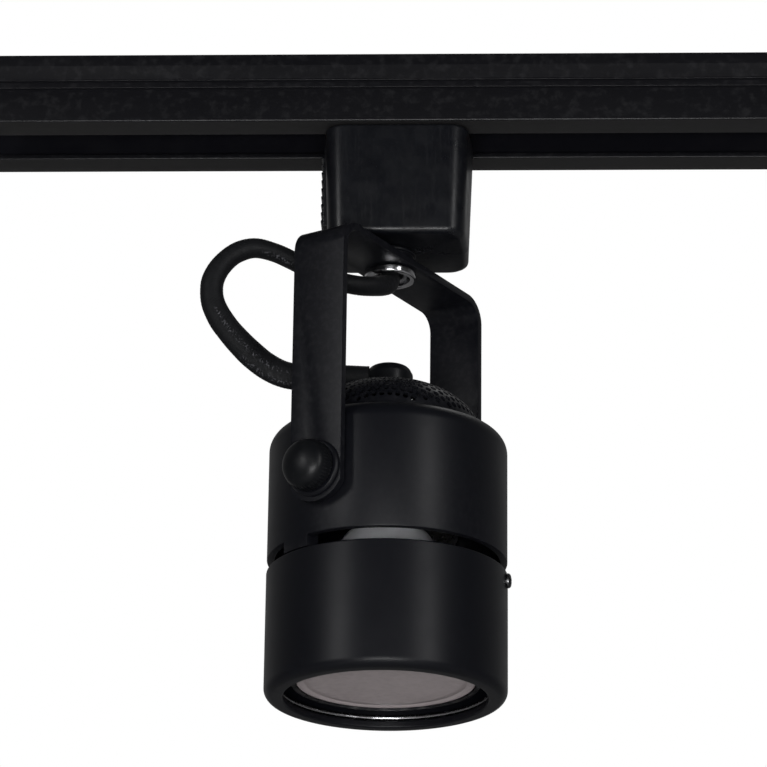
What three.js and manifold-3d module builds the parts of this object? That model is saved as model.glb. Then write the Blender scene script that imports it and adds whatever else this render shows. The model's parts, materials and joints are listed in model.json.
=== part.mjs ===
// Track spotlight on a short length of surface track.
// Millimetres, +Z up. The origin is the centre of the track's top face, the face that a ceiling holds.
// X runs along the track. The yoke, and the head in it, are turned about Z by YOKE_YAW.

import * as THREE from "three";
import { mergeVertices } from "three/addons/utils/BufferGeometryUtils.js";
import Module from "manifold-3d";

const wasm = await Module();
wasm.setup();

// ---- driving dimensions -------------------------------------------------------------------------

const GAP = 0.3;                       // between faces that touch

const TRACK = { length: 250, width: 35, height: 20, wall: 1.7, web: 1.8, flange: 1.6, slot: 15.8 };
const GROOVE = { heights: [-9.9, -7.7], depth: 0.4 };  // two fine lines along each side of the track
const CEILING_HOLE = { radius: 2.25, x: 90 };
const LINER = { depth: 4, pocketDepth: 2.6, pocketTop: -7.4, pocketBottom: -10.8 };

// The adapter's body stands a little to the right of the swivel. Its front narrows more than its rear.
const ADAPTER = {
  offset: 1.8, halfWidth: 20.5, frontHalfWidth: 19.3, rearHalfWidth: 20.4, halfDepth: 15.9,
  corner: 4.8, wall: 2, height: 31.9,
};
const ADAPTER_TOP = -TRACK.height - 0.4;
const ADAPTER_BOTTOM = ADAPTER_TOP - ADAPTER.height;
const ADAPTER_DRAFT = 0.055;           // how much narrower the adapter is at its bottom, as a share

const NIPPLE = { outer: 5, bore: 3.6 };
const CLEAR_BORE = NIPPLE.outer + GAP;
const BOSS = { radius: 7, height: 3 };
const STRAP_TOP = ADAPTER_BOTTOM - 2 * GAP - BOSS.height;

const YOKE = { halfSpan: 35.5, thickness: 2, width: 15.6, bend: 7, endRadius: 8.8 };
const YOKE_YAW = THREE.MathUtils.degToRad(59.7);
const STRAP_BOTTOM = STRAP_TOP - YOKE.thickness;
const RING_NUT = { outer: 7.1, height: 2.1 };
const RING_TOP = STRAP_BOTTOM - GAP;
const RING_BOTTOM = RING_TOP - RING_NUT.height;
const NIPPLE_BOTTOM = RING_BOTTOM + 0.9;

const PIVOT_Z = -125.8;
const STUD = { radius: 2, hole: 2.3 };
const KNOB = { radius: 6.8, rim: 3.4, length: 7 };

const HEAD_TOP = -106.2;
const HOUSING = { radius: 31.9, wall: 2, shoulder: 5, length: 35.5, mouth: 24.2 };
const SLOT_TOP = HEAD_TOP - HOUSING.length;
const VENT_SLOT = 3.4;
const SHADE = { radius: 32, wall: 2, length: 34, lipRadius: 26.9, lip: 2, fillet: 2.4 };
const SHADE_TOP = SLOT_TOP - VENT_SLOT;
const SHADE_BOTTOM = SHADE_TOP - SHADE.length;
const BRIDGE_ANGLE = THREE.MathUtils.degToRad(-16.8);  // bridge centre, measured from the near arm
const BRIDGE_WIDTH = THREE.MathUtils.degToRad(17);
const SHADE_SCREW_ANGLES = { right: THREE.MathUtils.degToRad(113), rear: THREE.MathUtils.degToRad(228) };
const DOME = { radius: 24, height: 14, wall: 1, flange: 26.4, hole: 4.6 };

const LAMP_FACE = SHADE_BOTTOM + 4.5;
const LAMP = { rim: 25, lens: 23.6, waist: 17, neck: 11.5, base: 8, length: 41 };
const LAMP_BACK = LAMP_FACE + LAMP.length;
const BASE_TOP = LAMP_BACK + 7.6;
const SOCKET = { radius: 13.5, height: 13 };
const PIN = { radius: 1.2, head: 2.3, spacing: 5, length: 6.5 };

const CORD_RADIUS = 3;
const LOOP_YAW = THREE.MathUtils.degToRad(124);        // from the yoke's own X to the way the loop hangs out
const BUSHING = { radius: 6.4, flat: 5.4, height: 6.3, stem: 3.8, crown: 2.6 };
const STRAIGHT_END_Z = -88.7;          // the height at which the cord enters the bushing

const AROUND_HEAD = 48;
const AROUND_SMALL = 16;

// ---- finishes -----------------------------------------------------------------------------------

function finish(color, roughness, metalness) {
  return new THREE.MeshStandardMaterial({ color, roughness, metalness });
}

const BLACK_COAT = finish(0x24262d, 0.45, 0.3);
const BLACK_PLASTIC = finish(0x1c1c20, 0.25, 0);
const TRACK_PAINT = finish(0x2b2b2f, 0.5, 0.2);
const LINER_PLASTIC = finish(0x3a3a3c, 0.6, 0);
const COPPER = finish(0xb87333, 0.35, 1);
const STEEL = finish(0xa8a8ac, 0.35, 1);
const CHROME = finish(0xd8d8dc, 0.1, 1);
const CERAMIC = finish(0xe8e4d8, 0.6, 0);
const LAMP_WHITE = finish(0xc4c4c8, 0.5, 0);
const LENS_GLASS = finish(0x8a8684, 0.4, 0);
const BRAID = finish(0x1a1a1d, 0.8, 0);
const NYLON = finish(0x303034, 0.6, 0);

// ---- building blocks ----------------------------------------------------------------------------

const vec = (x, y, z) => new THREE.Vector3(x, y, z);

function positionsOnly(geometry) {
  const bare = geometry.clone();
  bare.deleteAttribute("normal");
  bare.deleteAttribute("uv");
  return mergeVertices(bare, 1e-4);
}

function signedVolume(geometry) {
  const p = geometry.attributes.position;
  const index = geometry.index.array;
  const a = vec();
  const b = vec();
  const c = vec();
  let total = 0;
  for (let i = 0; i < index.length; i += 3) {
    a.fromBufferAttribute(p, index[i]);
    b.fromBufferAttribute(p, index[i + 1]);
    c.fromBufferAttribute(p, index[i + 2]);
    total += a.dot(b.cross(c));
  }
  return total / 6;
}

function outward(geometry) {
  const merged = positionsOnly(geometry);
  if (signedVolume(merged) < 0) {
    const index = merged.index.array;
    for (let i = 0; i < index.length; i += 3) {
      [index[i], index[i + 1]] = [index[i + 1], index[i]];
    }
  }
  return merged;
}

function toSolid(geometry) {
  const merged = outward(geometry);
  return new wasm.Manifold(new wasm.Mesh({
    numProp: 3,
    vertProperties: new Float32Array(merged.attributes.position.array),
    triVerts: new Uint32Array(merged.index.array),
  }));
}

function toGeometry(solid) {
  const mesh = solid.getMesh();
  const geometry = new THREE.BufferGeometry();
  geometry.setAttribute("position", new THREE.BufferAttribute(mesh.vertProperties, 3));
  geometry.setIndex(new THREE.BufferAttribute(mesh.triVerts, 1));
  return geometry;
}

function cut(base, ...tools) {
  return toGeometry(tools.reduce((solid, tool) => solid.subtract(toSolid(tool)), toSolid(base)));
}

function join(base, ...others) {
  return toGeometry(others.reduce((solid, other) => solid.add(toSolid(other)), toSolid(base)));
}

function box(x0, x1, y0, y1, z0, z1) {
  const geometry = new THREE.BoxGeometry(x1 - x0, y1 - y0, z1 - z0);
  return geometry.translate((x0 + x1) / 2, (y0 + y1) / 2, (z0 + z1) / 2);
}

// Turns a profile of [radius, z] pairs about Z. It closes on itself, or starts and ends on the axis.
function turned(profile, segments, closed = true) {
  const points = profile.map(([radius, z]) => new THREE.Vector2(radius, z));
  if (closed) {
    points.push(points[0].clone());
  }
  return new THREE.LatheGeometry(points, segments).rotateX(Math.PI / 2);
}

function rod(radius, z0, z1, segments = AROUND_SMALL) {
  return turned([[0, z0], [radius, z0], [radius, z1], [0, z1]], segments, false);
}

function ring(outer, inner, z0, z1, segments = AROUND_SMALL) {
  return turned([[outer, z0], [outer, z1], [inner, z1], [inner, z0]], segments);
}

// The points of an arc in a plane, from one angle in degrees to another.
function arc(cx, cy, radius, from, to, steps) {
  const points = [];
  for (let i = 0; i <= steps; i += 1) {
    const angle = THREE.MathUtils.degToRad(from + (to - from) * i / steps);
    points.push([cx + radius * Math.cos(angle), cy + radius * Math.sin(angle)]);
  }
  return points;
}

function extruded(outline, depth) {
  const shape = new THREE.Shape(outline.map(([x, y]) => new THREE.Vector2(x, y)));
  return new THREE.ExtrudeGeometry(shape, { depth, bevelEnabled: false });
}

// Extrudes an outline given in (Y, Z) along X, centred on X = 0.
function alongX(outline, length) {
  const geometry = extruded(outline, length);
  geometry.rotateX(Math.PI / 2);
  geometry.rotateZ(Math.PI / 2);
  return geometry.translate(-length / 2, 0, 0);
}

function tube(points, radius, sides, steps, closed = false) {
  const path = new THREE.CatmullRomCurve3(points, closed, "centripetal");
  const section = new THREE.Shape(arc(0, 0, radius, 0, 360 - 360 / sides, sides - 1)
    .map(([x, y]) => new THREE.Vector2(x, y)));
  return new THREE.ExtrudeGeometry(section, { steps, extrudePath: path, bevelEnabled: false });
}

// A wedge of a ring between two radii and two heights, centred on an angle about Z.
function ringWedge(outer, inner, z0, z1, centre, width) {
  const half = THREE.MathUtils.radToDeg(width) / 2;
  const outline = [...arc(0, 0, outer, -half, half, 4), ...arc(0, 0, inner, half, -half, 4)];
  return extruded(outline, z1 - z0).translate(0, 0, z0).rotateZ(centre);
}

const lyingAlongX = (geometry) => geometry.rotateY(Math.PI / 2);

function piece(name, geometry, material) {
  const mesh = new THREE.Mesh(outward(geometry), material);
  mesh.name = name;
  return mesh;
}

// ---- track --------------------------------------------------------------------------------------

function trackRail() {
  const halfWidth = TRACK.width / 2;
  const inner = halfWidth - TRACK.wall;
  const bottom = -TRACK.height;
  const root = halfWidth - GROOVE.depth;
  const side = [[halfWidth, bottom]];
  for (const z of GROOVE.heights) {
    side.push([halfWidth, z - 0.3], [root, z - 0.1], [root, z + 0.1], [halfWidth, z + 0.3]);
  }
  side.push([halfWidth, 0]);
  const opening = [
    [TRACK.slot / 2, bottom], [TRACK.slot / 2, bottom + TRACK.flange],
    [inner, bottom + TRACK.flange], [inner, -TRACK.web],
  ];
  const mirror = (points) => points.map(([y, z]) => [-y, z]).reverse();
  const outline = [...side, ...mirror(side), ...mirror(opening).reverse(), ...[...opening].reverse()];
  const rail = alongX(outline, TRACK.length);
  const holes = [-1, 1].map((end) => rod(CEILING_HOLE.radius, -TRACK.web - 1, 1, 12)
    .translate(end * CEILING_HOLE.x, 0, 0));
  return cut(rail, ...holes);
}

function trackLiner(side) {
  const outer = TRACK.width / 2 - TRACK.wall - GAP;
  const inner = outer - LINER.depth;
  const floor = inner + LINER.pocketDepth;
  const top = -TRACK.web - GAP;
  const bottom = -TRACK.height + TRACK.flange + GAP;
  const outline = [
    [outer, bottom], [outer, top], [inner, top], [inner, LINER.pocketTop], [floor, LINER.pocketTop],
    [floor, LINER.pocketBottom], [inner, LINER.pocketBottom], [inner, bottom],
  ].map(([y, z]) => [side * y, z]);
  return alongX(outline, TRACK.length - 2);
}

function trackConductor(side) {
  const liner = TRACK.width / 2 - TRACK.wall - GAP - LINER.depth;
  const near = side * (liner + 0.5);
  const far = side * (liner + LINER.pocketDepth - GAP);
  return box(-TRACK.length / 2 + 3, TRACK.length / 2 - 3, Math.min(near, far), Math.max(near, far),
    LINER.pocketBottom + GAP, LINER.pocketTop - GAP);
}

function track() {
  const group = new THREE.Group();
  group.add(piece("track_rail", trackRail(), TRACK_PAINT));
  for (const [label, side] of [["near", -1], ["far", 1]]) {
    group.add(piece(`track_liner_${label}`, trackLiner(side), LINER_PLASTIC));
    group.add(piece(`track_conductor_${label}`, trackConductor(side), COPPER));
  }
  return group;
}

// ---- adapter ------------------------------------------------------------------------------------

// Half of the adapter's plan, from the parting plane out to its front or rear, shrunk by an inset.
function adapterPlan(inset, parting, endHalfWidth) {
  const wide = ADAPTER.halfWidth - inset;
  const end = endHalfWidth - inset;
  const depth = ADAPTER.halfDepth - inset;
  const corner = ADAPTER.corner - inset;
  const rightCorner = arc(end - corner, depth - corner, corner, 0, 90, 4);
  const leftCorner = rightCorner.map(([x, y]) => [-x, y]).reverse();
  return [[wide, parting], ...rightCorner, ...leftCorner, [-wide, parting]];
}

// Narrows a body towards its bottom and sets it beside the swivel.
function drafted(geometry) {
  const p = geometry.attributes.position;
  for (let i = 0; i < p.count; i += 1) {
    const share = 1 - ADAPTER_DRAFT * (ADAPTER_TOP - p.getZ(i)) / ADAPTER.height;
    p.setX(i, p.getX(i) * share + ADAPTER.offset);
    p.setY(i, p.getY(i) * share);
  }
  return geometry;
}

const TAB = {
  halfWidth: 4.6, top: -22.6, bottom: -46, travel: 3.5, stemLift: 6,
  face: -18.5, back: -15.8, ribFace: -19.2, ribPitch: 2.4, ribHeight: 1.1,
};
const TONGUE = { left: -15.6, right: -12.2, halfWidth: 5.2, top: -17.8 };
const LATCH_CLEARANCE = 0.4;
const SHELL_SCREW = { x: 16.3, radius: 1.5, head: 2.6, headHeight: 1.3, heads: { upper: -27, lower: -46 } };
const POST_RADIUS = 3;
const SCREW_TIP = -11;                 // how far the screws reach into the front shell's posts
const NECK_FLANGE = { radius: 10.5, below: 5.2 };
const NECK_RADIUS = 7.4;

// Lays a body turned about Z along Y, with its own +Z towards the rear, at a shell screw's place.
function atShellScrew(geometry, z) {
  return geometry.rotateX(-Math.PI / 2).translate(SHELL_SCREW.x, 0, z);
}

function adapterShell(side) {
  const endHalfWidth = side > 0 ? ADAPTER.rearHalfWidth : ADAPTER.frontHalfWidth;
  const { wall, height, halfDepth } = ADAPTER;
  const half = (inset, parting, bottom, depth) => {
    const solid = extruded(adapterPlan(inset, parting, endHalfWidth), depth);
    const facing = side > 0 ? solid : solid.rotateZ(Math.PI);
    return drafted(facing.translate(0, 0, bottom));
  };
  const body = half(0, GAP / 2, ADAPTER_BOTTOM, height);
  const room = half(wall, -wall, ADAPTER_BOTTOM + wall, height - 2 * wall);
  const neckHole = rod(NECK_RADIUS + 2 * GAP, ADAPTER_TOP - 4, ADAPTER_TOP + 2);
  const nippleHole = rod(CLEAR_BORE, ADAPTER_BOTTOM - 2, ADAPTER_BOTTOM + 4);
  const tabReach = TAB.halfWidth + GAP;
  const tabSlot = box(-24, TONGUE.left + 0.8, -tabReach, tabReach,
    TAB.bottom - TAB.travel - 0.4, TAB.top + 0.4);
  const latchReach = TONGUE.halfWidth + LATCH_CLEARANCE;
  const latchSlot = box(TONGUE.left - LATCH_CLEARANCE, TONGUE.right + LATCH_CLEARANCE,
    -latchReach, latchReach, ADAPTER_TOP - 4, ADAPTER_TOP + 2);
  const heights = Object.values(SHELL_SCREW.heads);
  const inner = Math.min(side * GAP / 2, side * (halfDepth - 2.3));
  const outer = Math.max(side * GAP / 2, side * (halfDepth - 2.3));
  const posts = heights.map((z) => atShellScrew(rod(POST_RADIUS, inner, outer, 12), z));
  const shanks = heights.map((z) => atShellScrew(rod(SHELL_SCREW.radius + GAP, SCREW_TIP - GAP, 20, 12), z));
  const sinks = heights.map((z) => atShellScrew(
    rod(SHELL_SCREW.head + GAP, halfDepth - SHELL_SCREW.headHeight - 2 * GAP, 20, 12), z));
  return cut(join(cut(body, room), ...posts), neckHole, nippleHole, tabSlot, latchSlot, ...shanks, ...sinks);
}

function shellScrew(z) {
  const { radius, head, headHeight } = SHELL_SCREW;
  const outer = ADAPTER.halfDepth - 0.6;
  const seat = outer - headHeight + GAP;
  const profile = [
    [0, SCREW_TIP], [radius, SCREW_TIP], [radius, seat], [head, seat], [head, outer], [0, outer],
  ];
  return atShellScrew(turned(profile, 12, false), z);
}

// The turning neck: a post up through the slot, with two wings that rest over the track's flanges.
const NECK_TOP = -9.9;

function adapterNeck() {
  const wingBottom = -TRACK.height + TRACK.flange + 0.4;
  const flange = rod(NECK_FLANGE.radius, ADAPTER_TOP - NECK_FLANGE.below, ADAPTER_TOP - ADAPTER.wall - GAP);
  const post = rod(NECK_RADIUS, ADAPTER_TOP - 4, NECK_TOP);
  const wings = box(-6.4, 6.4, -10.6, 10.6, wingBottom, wingBottom + 3.4);
  return join(flange, post, wings);
}

function contactBlade(side) {
  const tip = TRACK.width / 2 - TRACK.wall - GAP - LINER.depth + 0.2;
  const inner = side * 1.2;
  const outer = side * tip;
  return box(-3, 3, Math.min(inner, outer), Math.max(inner, outer), NECK_TOP + GAP, NECK_TOP + GAP + 1);
}

const CONTACT_CAP_TOP = -5.6;

function contactCap() {
  return rod(6.4, NECK_TOP + 2 * GAP + 1, CONTACT_CAP_TOP);
}

function earthContact() {
  return box(-5, 5, -1.5, 1.5, CONTACT_CAP_TOP + GAP, -TRACK.web - GAP);
}

// The release tab: a ribbed thumb pad in the side wall, and a tongue that stands in the track's slot.
function releaseTab() {
  const { halfWidth, top, bottom, face, back, ribFace, ribPitch, ribHeight } = TAB;
  const pad = box(face, back, -halfWidth, halfWidth, bottom, top);
  const stem = box(back - 0.2, TONGUE.right, -halfWidth, halfWidth, bottom + TAB.stemLift, top);
  const tongue = box(TONGUE.left, TONGUE.right, -TONGUE.halfWidth, TONGUE.halfWidth, top - 1, TONGUE.top);
  const ribs = [];
  for (let z = bottom + 1; z < top - ribHeight; z += ribPitch) {
    ribs.push(box(ribFace, face + 0.2, -halfWidth, halfWidth, z, z + ribHeight));
  }
  return join(pad, stem, tongue, ...ribs);
}

const SPRING = { x: -13.2, radius: 2, wire: 0.45, turns: 4, bottom: ADAPTER_BOTTOM + ADAPTER.wall + 0.8 };
const SPRING_TOP = TAB.bottom + TAB.stemLift - GAP - SPRING.wire;

function releaseSpring() {
  const points = [];
  const perTurn = 8;
  for (let i = 0; i <= SPRING.turns * perTurn; i += 1) {
    const angle = 2 * Math.PI * i / perTurn;
    const z = SPRING.bottom + (SPRING_TOP - SPRING.bottom) * i / (SPRING.turns * perTurn);
    points.push(vec(SPRING.x + SPRING.radius * Math.cos(angle), SPRING.radius * Math.sin(angle), z));
  }
  return tube(points, SPRING.wire, 6, SPRING.turns * 10);
}

function swivelNipple() {
  return ring(NIPPLE.outer, NIPPLE.bore, NIPPLE_BOTTOM, ADAPTER_BOTTOM + 9);
}

function nippleLocknut() {
  const bottom = ADAPTER_BOTTOM + ADAPTER.wall + GAP;
  return cut(rod(8, bottom, bottom + 3, 6), rod(CLEAR_BORE, bottom - 1, bottom + 4));
}

function adapter() {
  const group = new THREE.Group();
  group.add(piece("adapter_front_shell", adapterShell(-1), BLACK_PLASTIC));
  group.add(piece("adapter_rear_shell", adapterShell(1), BLACK_PLASTIC));
  for (const [label, z] of Object.entries(SHELL_SCREW.heads)) {
    group.add(piece(`shell_screw_${label}`, shellScrew(z), STEEL));
  }
  group.add(piece("adapter_neck", adapterNeck(), BLACK_PLASTIC));
  for (const [label, side] of [["near", -1], ["far", 1]]) {
    group.add(piece(`contact_blade_${label}`, contactBlade(side), COPPER));
  }
  group.add(piece("contact_cap", contactCap(), BLACK_PLASTIC));
  group.add(piece("earth_contact", earthContact(), COPPER));
  group.add(piece("release_tab", releaseTab(), BLACK_PLASTIC));
  group.add(piece("release_spring", releaseSpring(), STEEL));
  group.add(piece("swivel_nipple", swivelNipple(), STEEL));
  group.add(piece("nipple_locknut", nippleLocknut(), STEEL));
  const bossTop = ADAPTER_BOTTOM - GAP;
  const boss = ring(BOSS.radius, CLEAR_BORE, bossTop - BOSS.height, bossTop);
  group.add(piece("swivel_boss", boss, BLACK_PLASTIC));
  return group;
}

// ---- yoke ---------------------------------------------------------------------------------------

function yokeBracket() {
  const out = YOKE.halfSpan;
  const inside = out - YOKE.thickness;
  const innerBend = YOKE.bend - YOKE.thickness;
  const split = PIVOT_Z + 4;
  const rightOuter = arc(out - YOKE.bend, STRAP_TOP - YOKE.bend, YOKE.bend, 0, 90, 6);
  const rightInner = arc(out - YOKE.bend, STRAP_TOP - YOKE.bend, innerBend, 0, 90, 6);
  const mirror = (points) => points.map(([x, z]) => [-x, z]).reverse();
  const outline = [
    [out, split], ...rightOuter, ...mirror(rightOuter), [-out, split],
    [-inside, split], ...mirror(rightInner).reverse(), ...[...rightInner].reverse(), [inside, split],
  ];
  const strap = extruded(outline, YOKE.width).rotateX(Math.PI / 2).translate(0, YOKE.width / 2, 0);
  const edge = YOKE.width / 2;
  const drop = THREE.MathUtils.radToDeg(Math.acos(edge / YOKE.endRadius));
  const roundEnd = arc(0, PIVOT_Z, YOKE.endRadius, 180 + drop, 360 - drop, 8);
  const endPlan = [[edge, split + 1], [-edge, split + 1], ...roundEnd];
  const armEnd = (side) => alongX(endPlan, YOKE.thickness).translate(side * (out - YOKE.thickness / 2), 0, 0);
  const bracket = join(strap, armEnd(1), armEnd(-1));
  const pivotHoles = lyingAlongX(rod(STUD.hole, -50, 50, 16)).translate(0, 0, PIVOT_Z);
  return cut(bracket, rod(CLEAR_BORE, STRAP_BOTTOM - 2, STRAP_TOP + 2), pivotHoles);
}

// A part turned about the pivot axis, drawn from its inner end out, on the near (-1) or far (+1) arm.
function onPivot(geometry, side) {
  const laid = lyingAlongX(geometry);
  if (side < 0) {
    laid.rotateZ(Math.PI);
  }
  return laid.translate(0, 0, PIVOT_Z);
}

const WASHER_IN = HOUSING.radius + 0.6;
const KNOB_WASHER_IN = YOKE.halfSpan + GAP;
const KNOB_WASHER_OUT = KNOB_WASHER_IN + 1.1;
const KNOB_IN = KNOB_WASHER_OUT + GAP;
const STUD_IN = 24.5;
const STUD_OUT = KNOB_IN + 3;

function thumbKnob() {
  const crown = KNOB.length - KNOB.rim;
  const profile = [[0, KNOB_IN], [KNOB.radius, KNOB_IN], [KNOB.radius, KNOB_IN + KNOB.rim]];
  for (let step = 1; step <= 5; step += 1) {
    const angle = Math.PI / 2 * step / 5;
    profile.push([KNOB.radius * Math.cos(angle), KNOB_IN + KNOB.rim + crown * Math.sin(angle)]);
  }
  profile[profile.length - 1][0] = 0;
  return cut(turned(profile, 24, false), rod(STUD.hole, KNOB_IN - 1, STUD_OUT + GAP, 12));
}

function yokePieces() {
  const group = new THREE.Group();
  group.add(piece("yoke_bracket", yokeBracket(), BLACK_COAT));
  group.add(piece("ring_nut", ring(RING_NUT.outer, CLEAR_BORE, RING_BOTTOM, RING_TOP, 28), CHROME));
  for (const [label, side] of [["near", -1], ["far", 1]]) {
    const washer = ring(6, STUD.hole, WASHER_IN, YOKE.halfSpan - YOKE.thickness - GAP, 16);
    group.add(piece(`friction_washer_${label}`, onPivot(washer, side), NYLON));
    const knobWasher = ring(7.7, STUD.hole, KNOB_WASHER_IN, KNOB_WASHER_OUT, 20);
    group.add(piece(`knob_washer_${label}`, onPivot(knobWasher, side), BLACK_COAT));
    group.add(piece(`thumb_knob_${label}`, onPivot(thumbKnob(), side), BLACK_PLASTIC));
    group.add(piece(`pivot_stud_${label}`, onPivot(rod(STUD.radius, STUD_IN, STUD_OUT, 12), side), STEEL));
  }
  return group;
}

// ---- head ---------------------------------------------------------------------------------------

const INSERT = { outer: 4.5, from: 25.2, to: 29 };      // the threaded inserts in the housing's wall
const COUPLING = { outer: 29.6, inner: 27.6, height: 5.6 };
const NEAR_ARM = Math.PI;              // the near arm is on the yoke's -X side

function rearHousing() {
  const { radius, wall, shoulder, mouth } = HOUSING;
  const inner = radius - wall;
  const shell = turned([
    [mouth, HEAD_TOP],
    ...arc(radius - shoulder, HEAD_TOP - shoulder, shoulder, 90, 0, 5),
    [radius, SLOT_TOP], [inner, SLOT_TOP],
    ...arc(radius - shoulder, HEAD_TOP - shoulder, shoulder - wall, 0, 90, 4),
    [mouth, HEAD_TOP - wall],
  ], AROUND_HEAD);
  const couplingTop = SHADE_TOP - GAP;
  const couplingBottom = couplingTop - COUPLING.height;
  const coupling = ring(COUPLING.outer, COUPLING.inner, couplingBottom, couplingTop, AROUND_HEAD);
  const bridges = [];
  for (const opposite of [0, Math.PI]) {
    const centre = NEAR_ARM + BRIDGE_ANGLE + opposite;
    for (const [outer, z0, z1] of [
      [radius, SHADE_TOP + GAP, SLOT_TOP + 1], [COUPLING.outer, couplingTop - 1, SHADE_TOP + 1],
    ]) {
      bridges.push(ringWedge(outer, COUPLING.inner, z0, z1, centre, BRIDGE_WIDTH));
    }
  }
  const pivotHoles = lyingAlongX(rod(STUD.hole, -50, 50, 12)).translate(0, 0, PIVOT_Z);
  return cut(join(shell, coupling, ...bridges), pivotHoles, ...screwHoles());
}

const SHADE_SCREW_Z = SHADE_TOP - 2.6;

function atScrew(geometry, angle) {
  return lyingAlongX(geometry).rotateZ(NEAR_ARM + angle).translate(0, 0, SHADE_SCREW_Z);
}

function screwHoles() {
  return Object.values(SHADE_SCREW_ANGLES).map((angle) => atScrew(rod(1.5, 25, 36, 10), angle));
}

function shadeScrew(angle) {
  const tip = COUPLING.inner - 1;
  const head = SHADE.radius + 0.2;
  const profile = [[0, tip], [1.2, tip], [1.2, head], [2, head], [1.6, head + 0.9], [0, head + 1.1]];
  return atScrew(turned(profile, 10, false), angle);
}

function frontShade() {
  const { radius, wall, lipRadius, lip, fillet } = SHADE;
  const inner = radius - wall;
  const shell = turned([
    [radius, SHADE_TOP],
    ...arc(radius - fillet, SHADE_BOTTOM + fillet, fillet, 0, -90, 4),
    [lipRadius, SHADE_BOTTOM], [lipRadius, SHADE_BOTTOM + lip],
    [inner, SHADE_BOTTOM + lip], [inner, SHADE_TOP],
  ], AROUND_HEAD);
  return cut(shell, ...screwHoles());
}

const SNAP_RING = { radius: 27.9, wire: 0.65, halfGap: 15, turn: THREE.MathUtils.degToRad(30) };

// A spring wire that lies on the shade's lip and holds the lamp. It has a gap between its two ends.
function snapRing() {
  const { radius, wire, halfGap, turn } = SNAP_RING;
  const z = SHADE_BOTTOM + SHADE.lip + GAP + wire;
  const points = arc(0, 0, radius, halfGap, 360 - halfGap, 24).map(([x, y]) => vec(x, y, z));
  return tube(points, wire, 6, 44).rotateZ(NEAR_ARM + turn);
}

function ventDome() {
  const { radius, height, wall, flange } = DOME;
  const flangeTop = HEAD_TOP - HOUSING.wall - GAP;
  const flangeBottom = flangeTop - wall;
  const rows = 5;
  const shellArc = (r, h, from, to) => {
    const points = [];
    for (let i = 0; i <= rows; i += 1) {
      const angle = from + (to - from) * i / rows;
      points.push([r * Math.cos(angle), HEAD_TOP + h * Math.sin(angle)]);
    }
    return points;
  };
  const crown = Math.acos(DOME.hole / radius);
  return turned([
    [flange, flangeBottom], [flange, flangeTop], [radius, flangeTop],
    ...shellArc(radius, height, 0, crown),
    ...shellArc(radius - wall, height - wall, crown, 0),
    [radius - wall, flangeBottom],
  ], 40);
}

const STEM_LENGTH = 5;

// The cord bushing: a stem through the dome's crown, and a low hood whose flat side faces the cord.
function cordBushing() {
  const crown = HEAD_TOP + DOME.height;
  const top = crown + BUSHING.height;
  const hood = turned([
    [0, crown - STEM_LENGTH], [BUSHING.stem, crown - STEM_LENGTH], [BUSHING.stem, crown + GAP],
    [BUSHING.radius, crown + GAP],
    ...arc(BUSHING.radius - BUSHING.crown, top - BUSHING.crown, BUSHING.crown, 0, 90, 4), [0, top],
  ], 24, false);
  const side = box(BUSHING.flat, 12, -12, 12, crown, top + 3);
  return cut(hood, side).rotateZ(LOOP_YAW);
}

function lampBody() {
  const { rim, lens, waist, neck } = LAMP;
  const front = LAMP_FACE - 0.4;
  return turned([
    [0, LAMP_BACK - 2], [neck - 2, LAMP_BACK - 2.5], [waist - 2, front + 29], [waist + 1.6, front + 20],
    [lens - 1, front + 3.4], [lens + GAP, front + 3.4], [lens + GAP, front], [rim, front], [rim, front + 5],
    [waist + 3.5, front + 21], [waist, front + 30],
    [neck, LAMP_BACK - 1], [neck - 1, LAMP_BACK], [0, LAMP_BACK],
  ], 32, false);
}

function lampLens() {
  return rod(LAMP.lens, LAMP_FACE, LAMP_FACE + 1.6, 32);
}

function lampPin(side) {
  const z = BASE_TOP + GAP;
  const top = z + PIN.length;
  const profile = [
    [0, z], [PIN.radius, z], [PIN.radius, top - 2], [PIN.head, top - 1.6], [PIN.head, top], [0, top],
  ];
  return turned(profile, 12, false).translate(side * PIN.spacing, 0, 0);
}

const SOCKET_BOTTOM = BASE_TOP + 2 * GAP;
const SOCKET_TOP = SOCKET_BOTTOM + SOCKET.height;
const BRACKET_BOTTOM = SOCKET_TOP + GAP;

const BRACKET = { reach: 27.2, halfWidth: 6, thickness: 1.2, wireHole: 3.2 };
const SOCKET_SCREW_X = 9.5;

function socketScrew(side) {
  const tip = SOCKET_TOP - 5;
  const head = BRACKET_BOTTOM + BRACKET.thickness + GAP;
  const top = head + 1.4;
  const profile = [[0, tip], [1.2, tip], [1.2, head], [2.6, head], [2.2, top], [0, top]];
  return turned(profile, 12, false).translate(side * SOCKET_SCREW_X, 0, 0);
}

function lampSocket() {
  const pinHole = rod(PIN.head + GAP, SOCKET_BOTTOM - 1, SOCKET_BOTTOM + PIN.length + 0.6, 12);
  const screwHole = rod(1.5, SOCKET_TOP - 6, SOCKET_TOP + 1, 12);
  const pins = [-1, 1].map((side) => pinHole.clone().translate(side * PIN.spacing, 0, 0));
  const screws = [-1, 1].map((side) => screwHole.clone().translate(side * SOCKET_SCREW_X, 0, 0));
  return cut(rod(SOCKET.radius, SOCKET_BOTTOM, SOCKET_TOP, 24), ...pins, ...screws);
}

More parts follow.
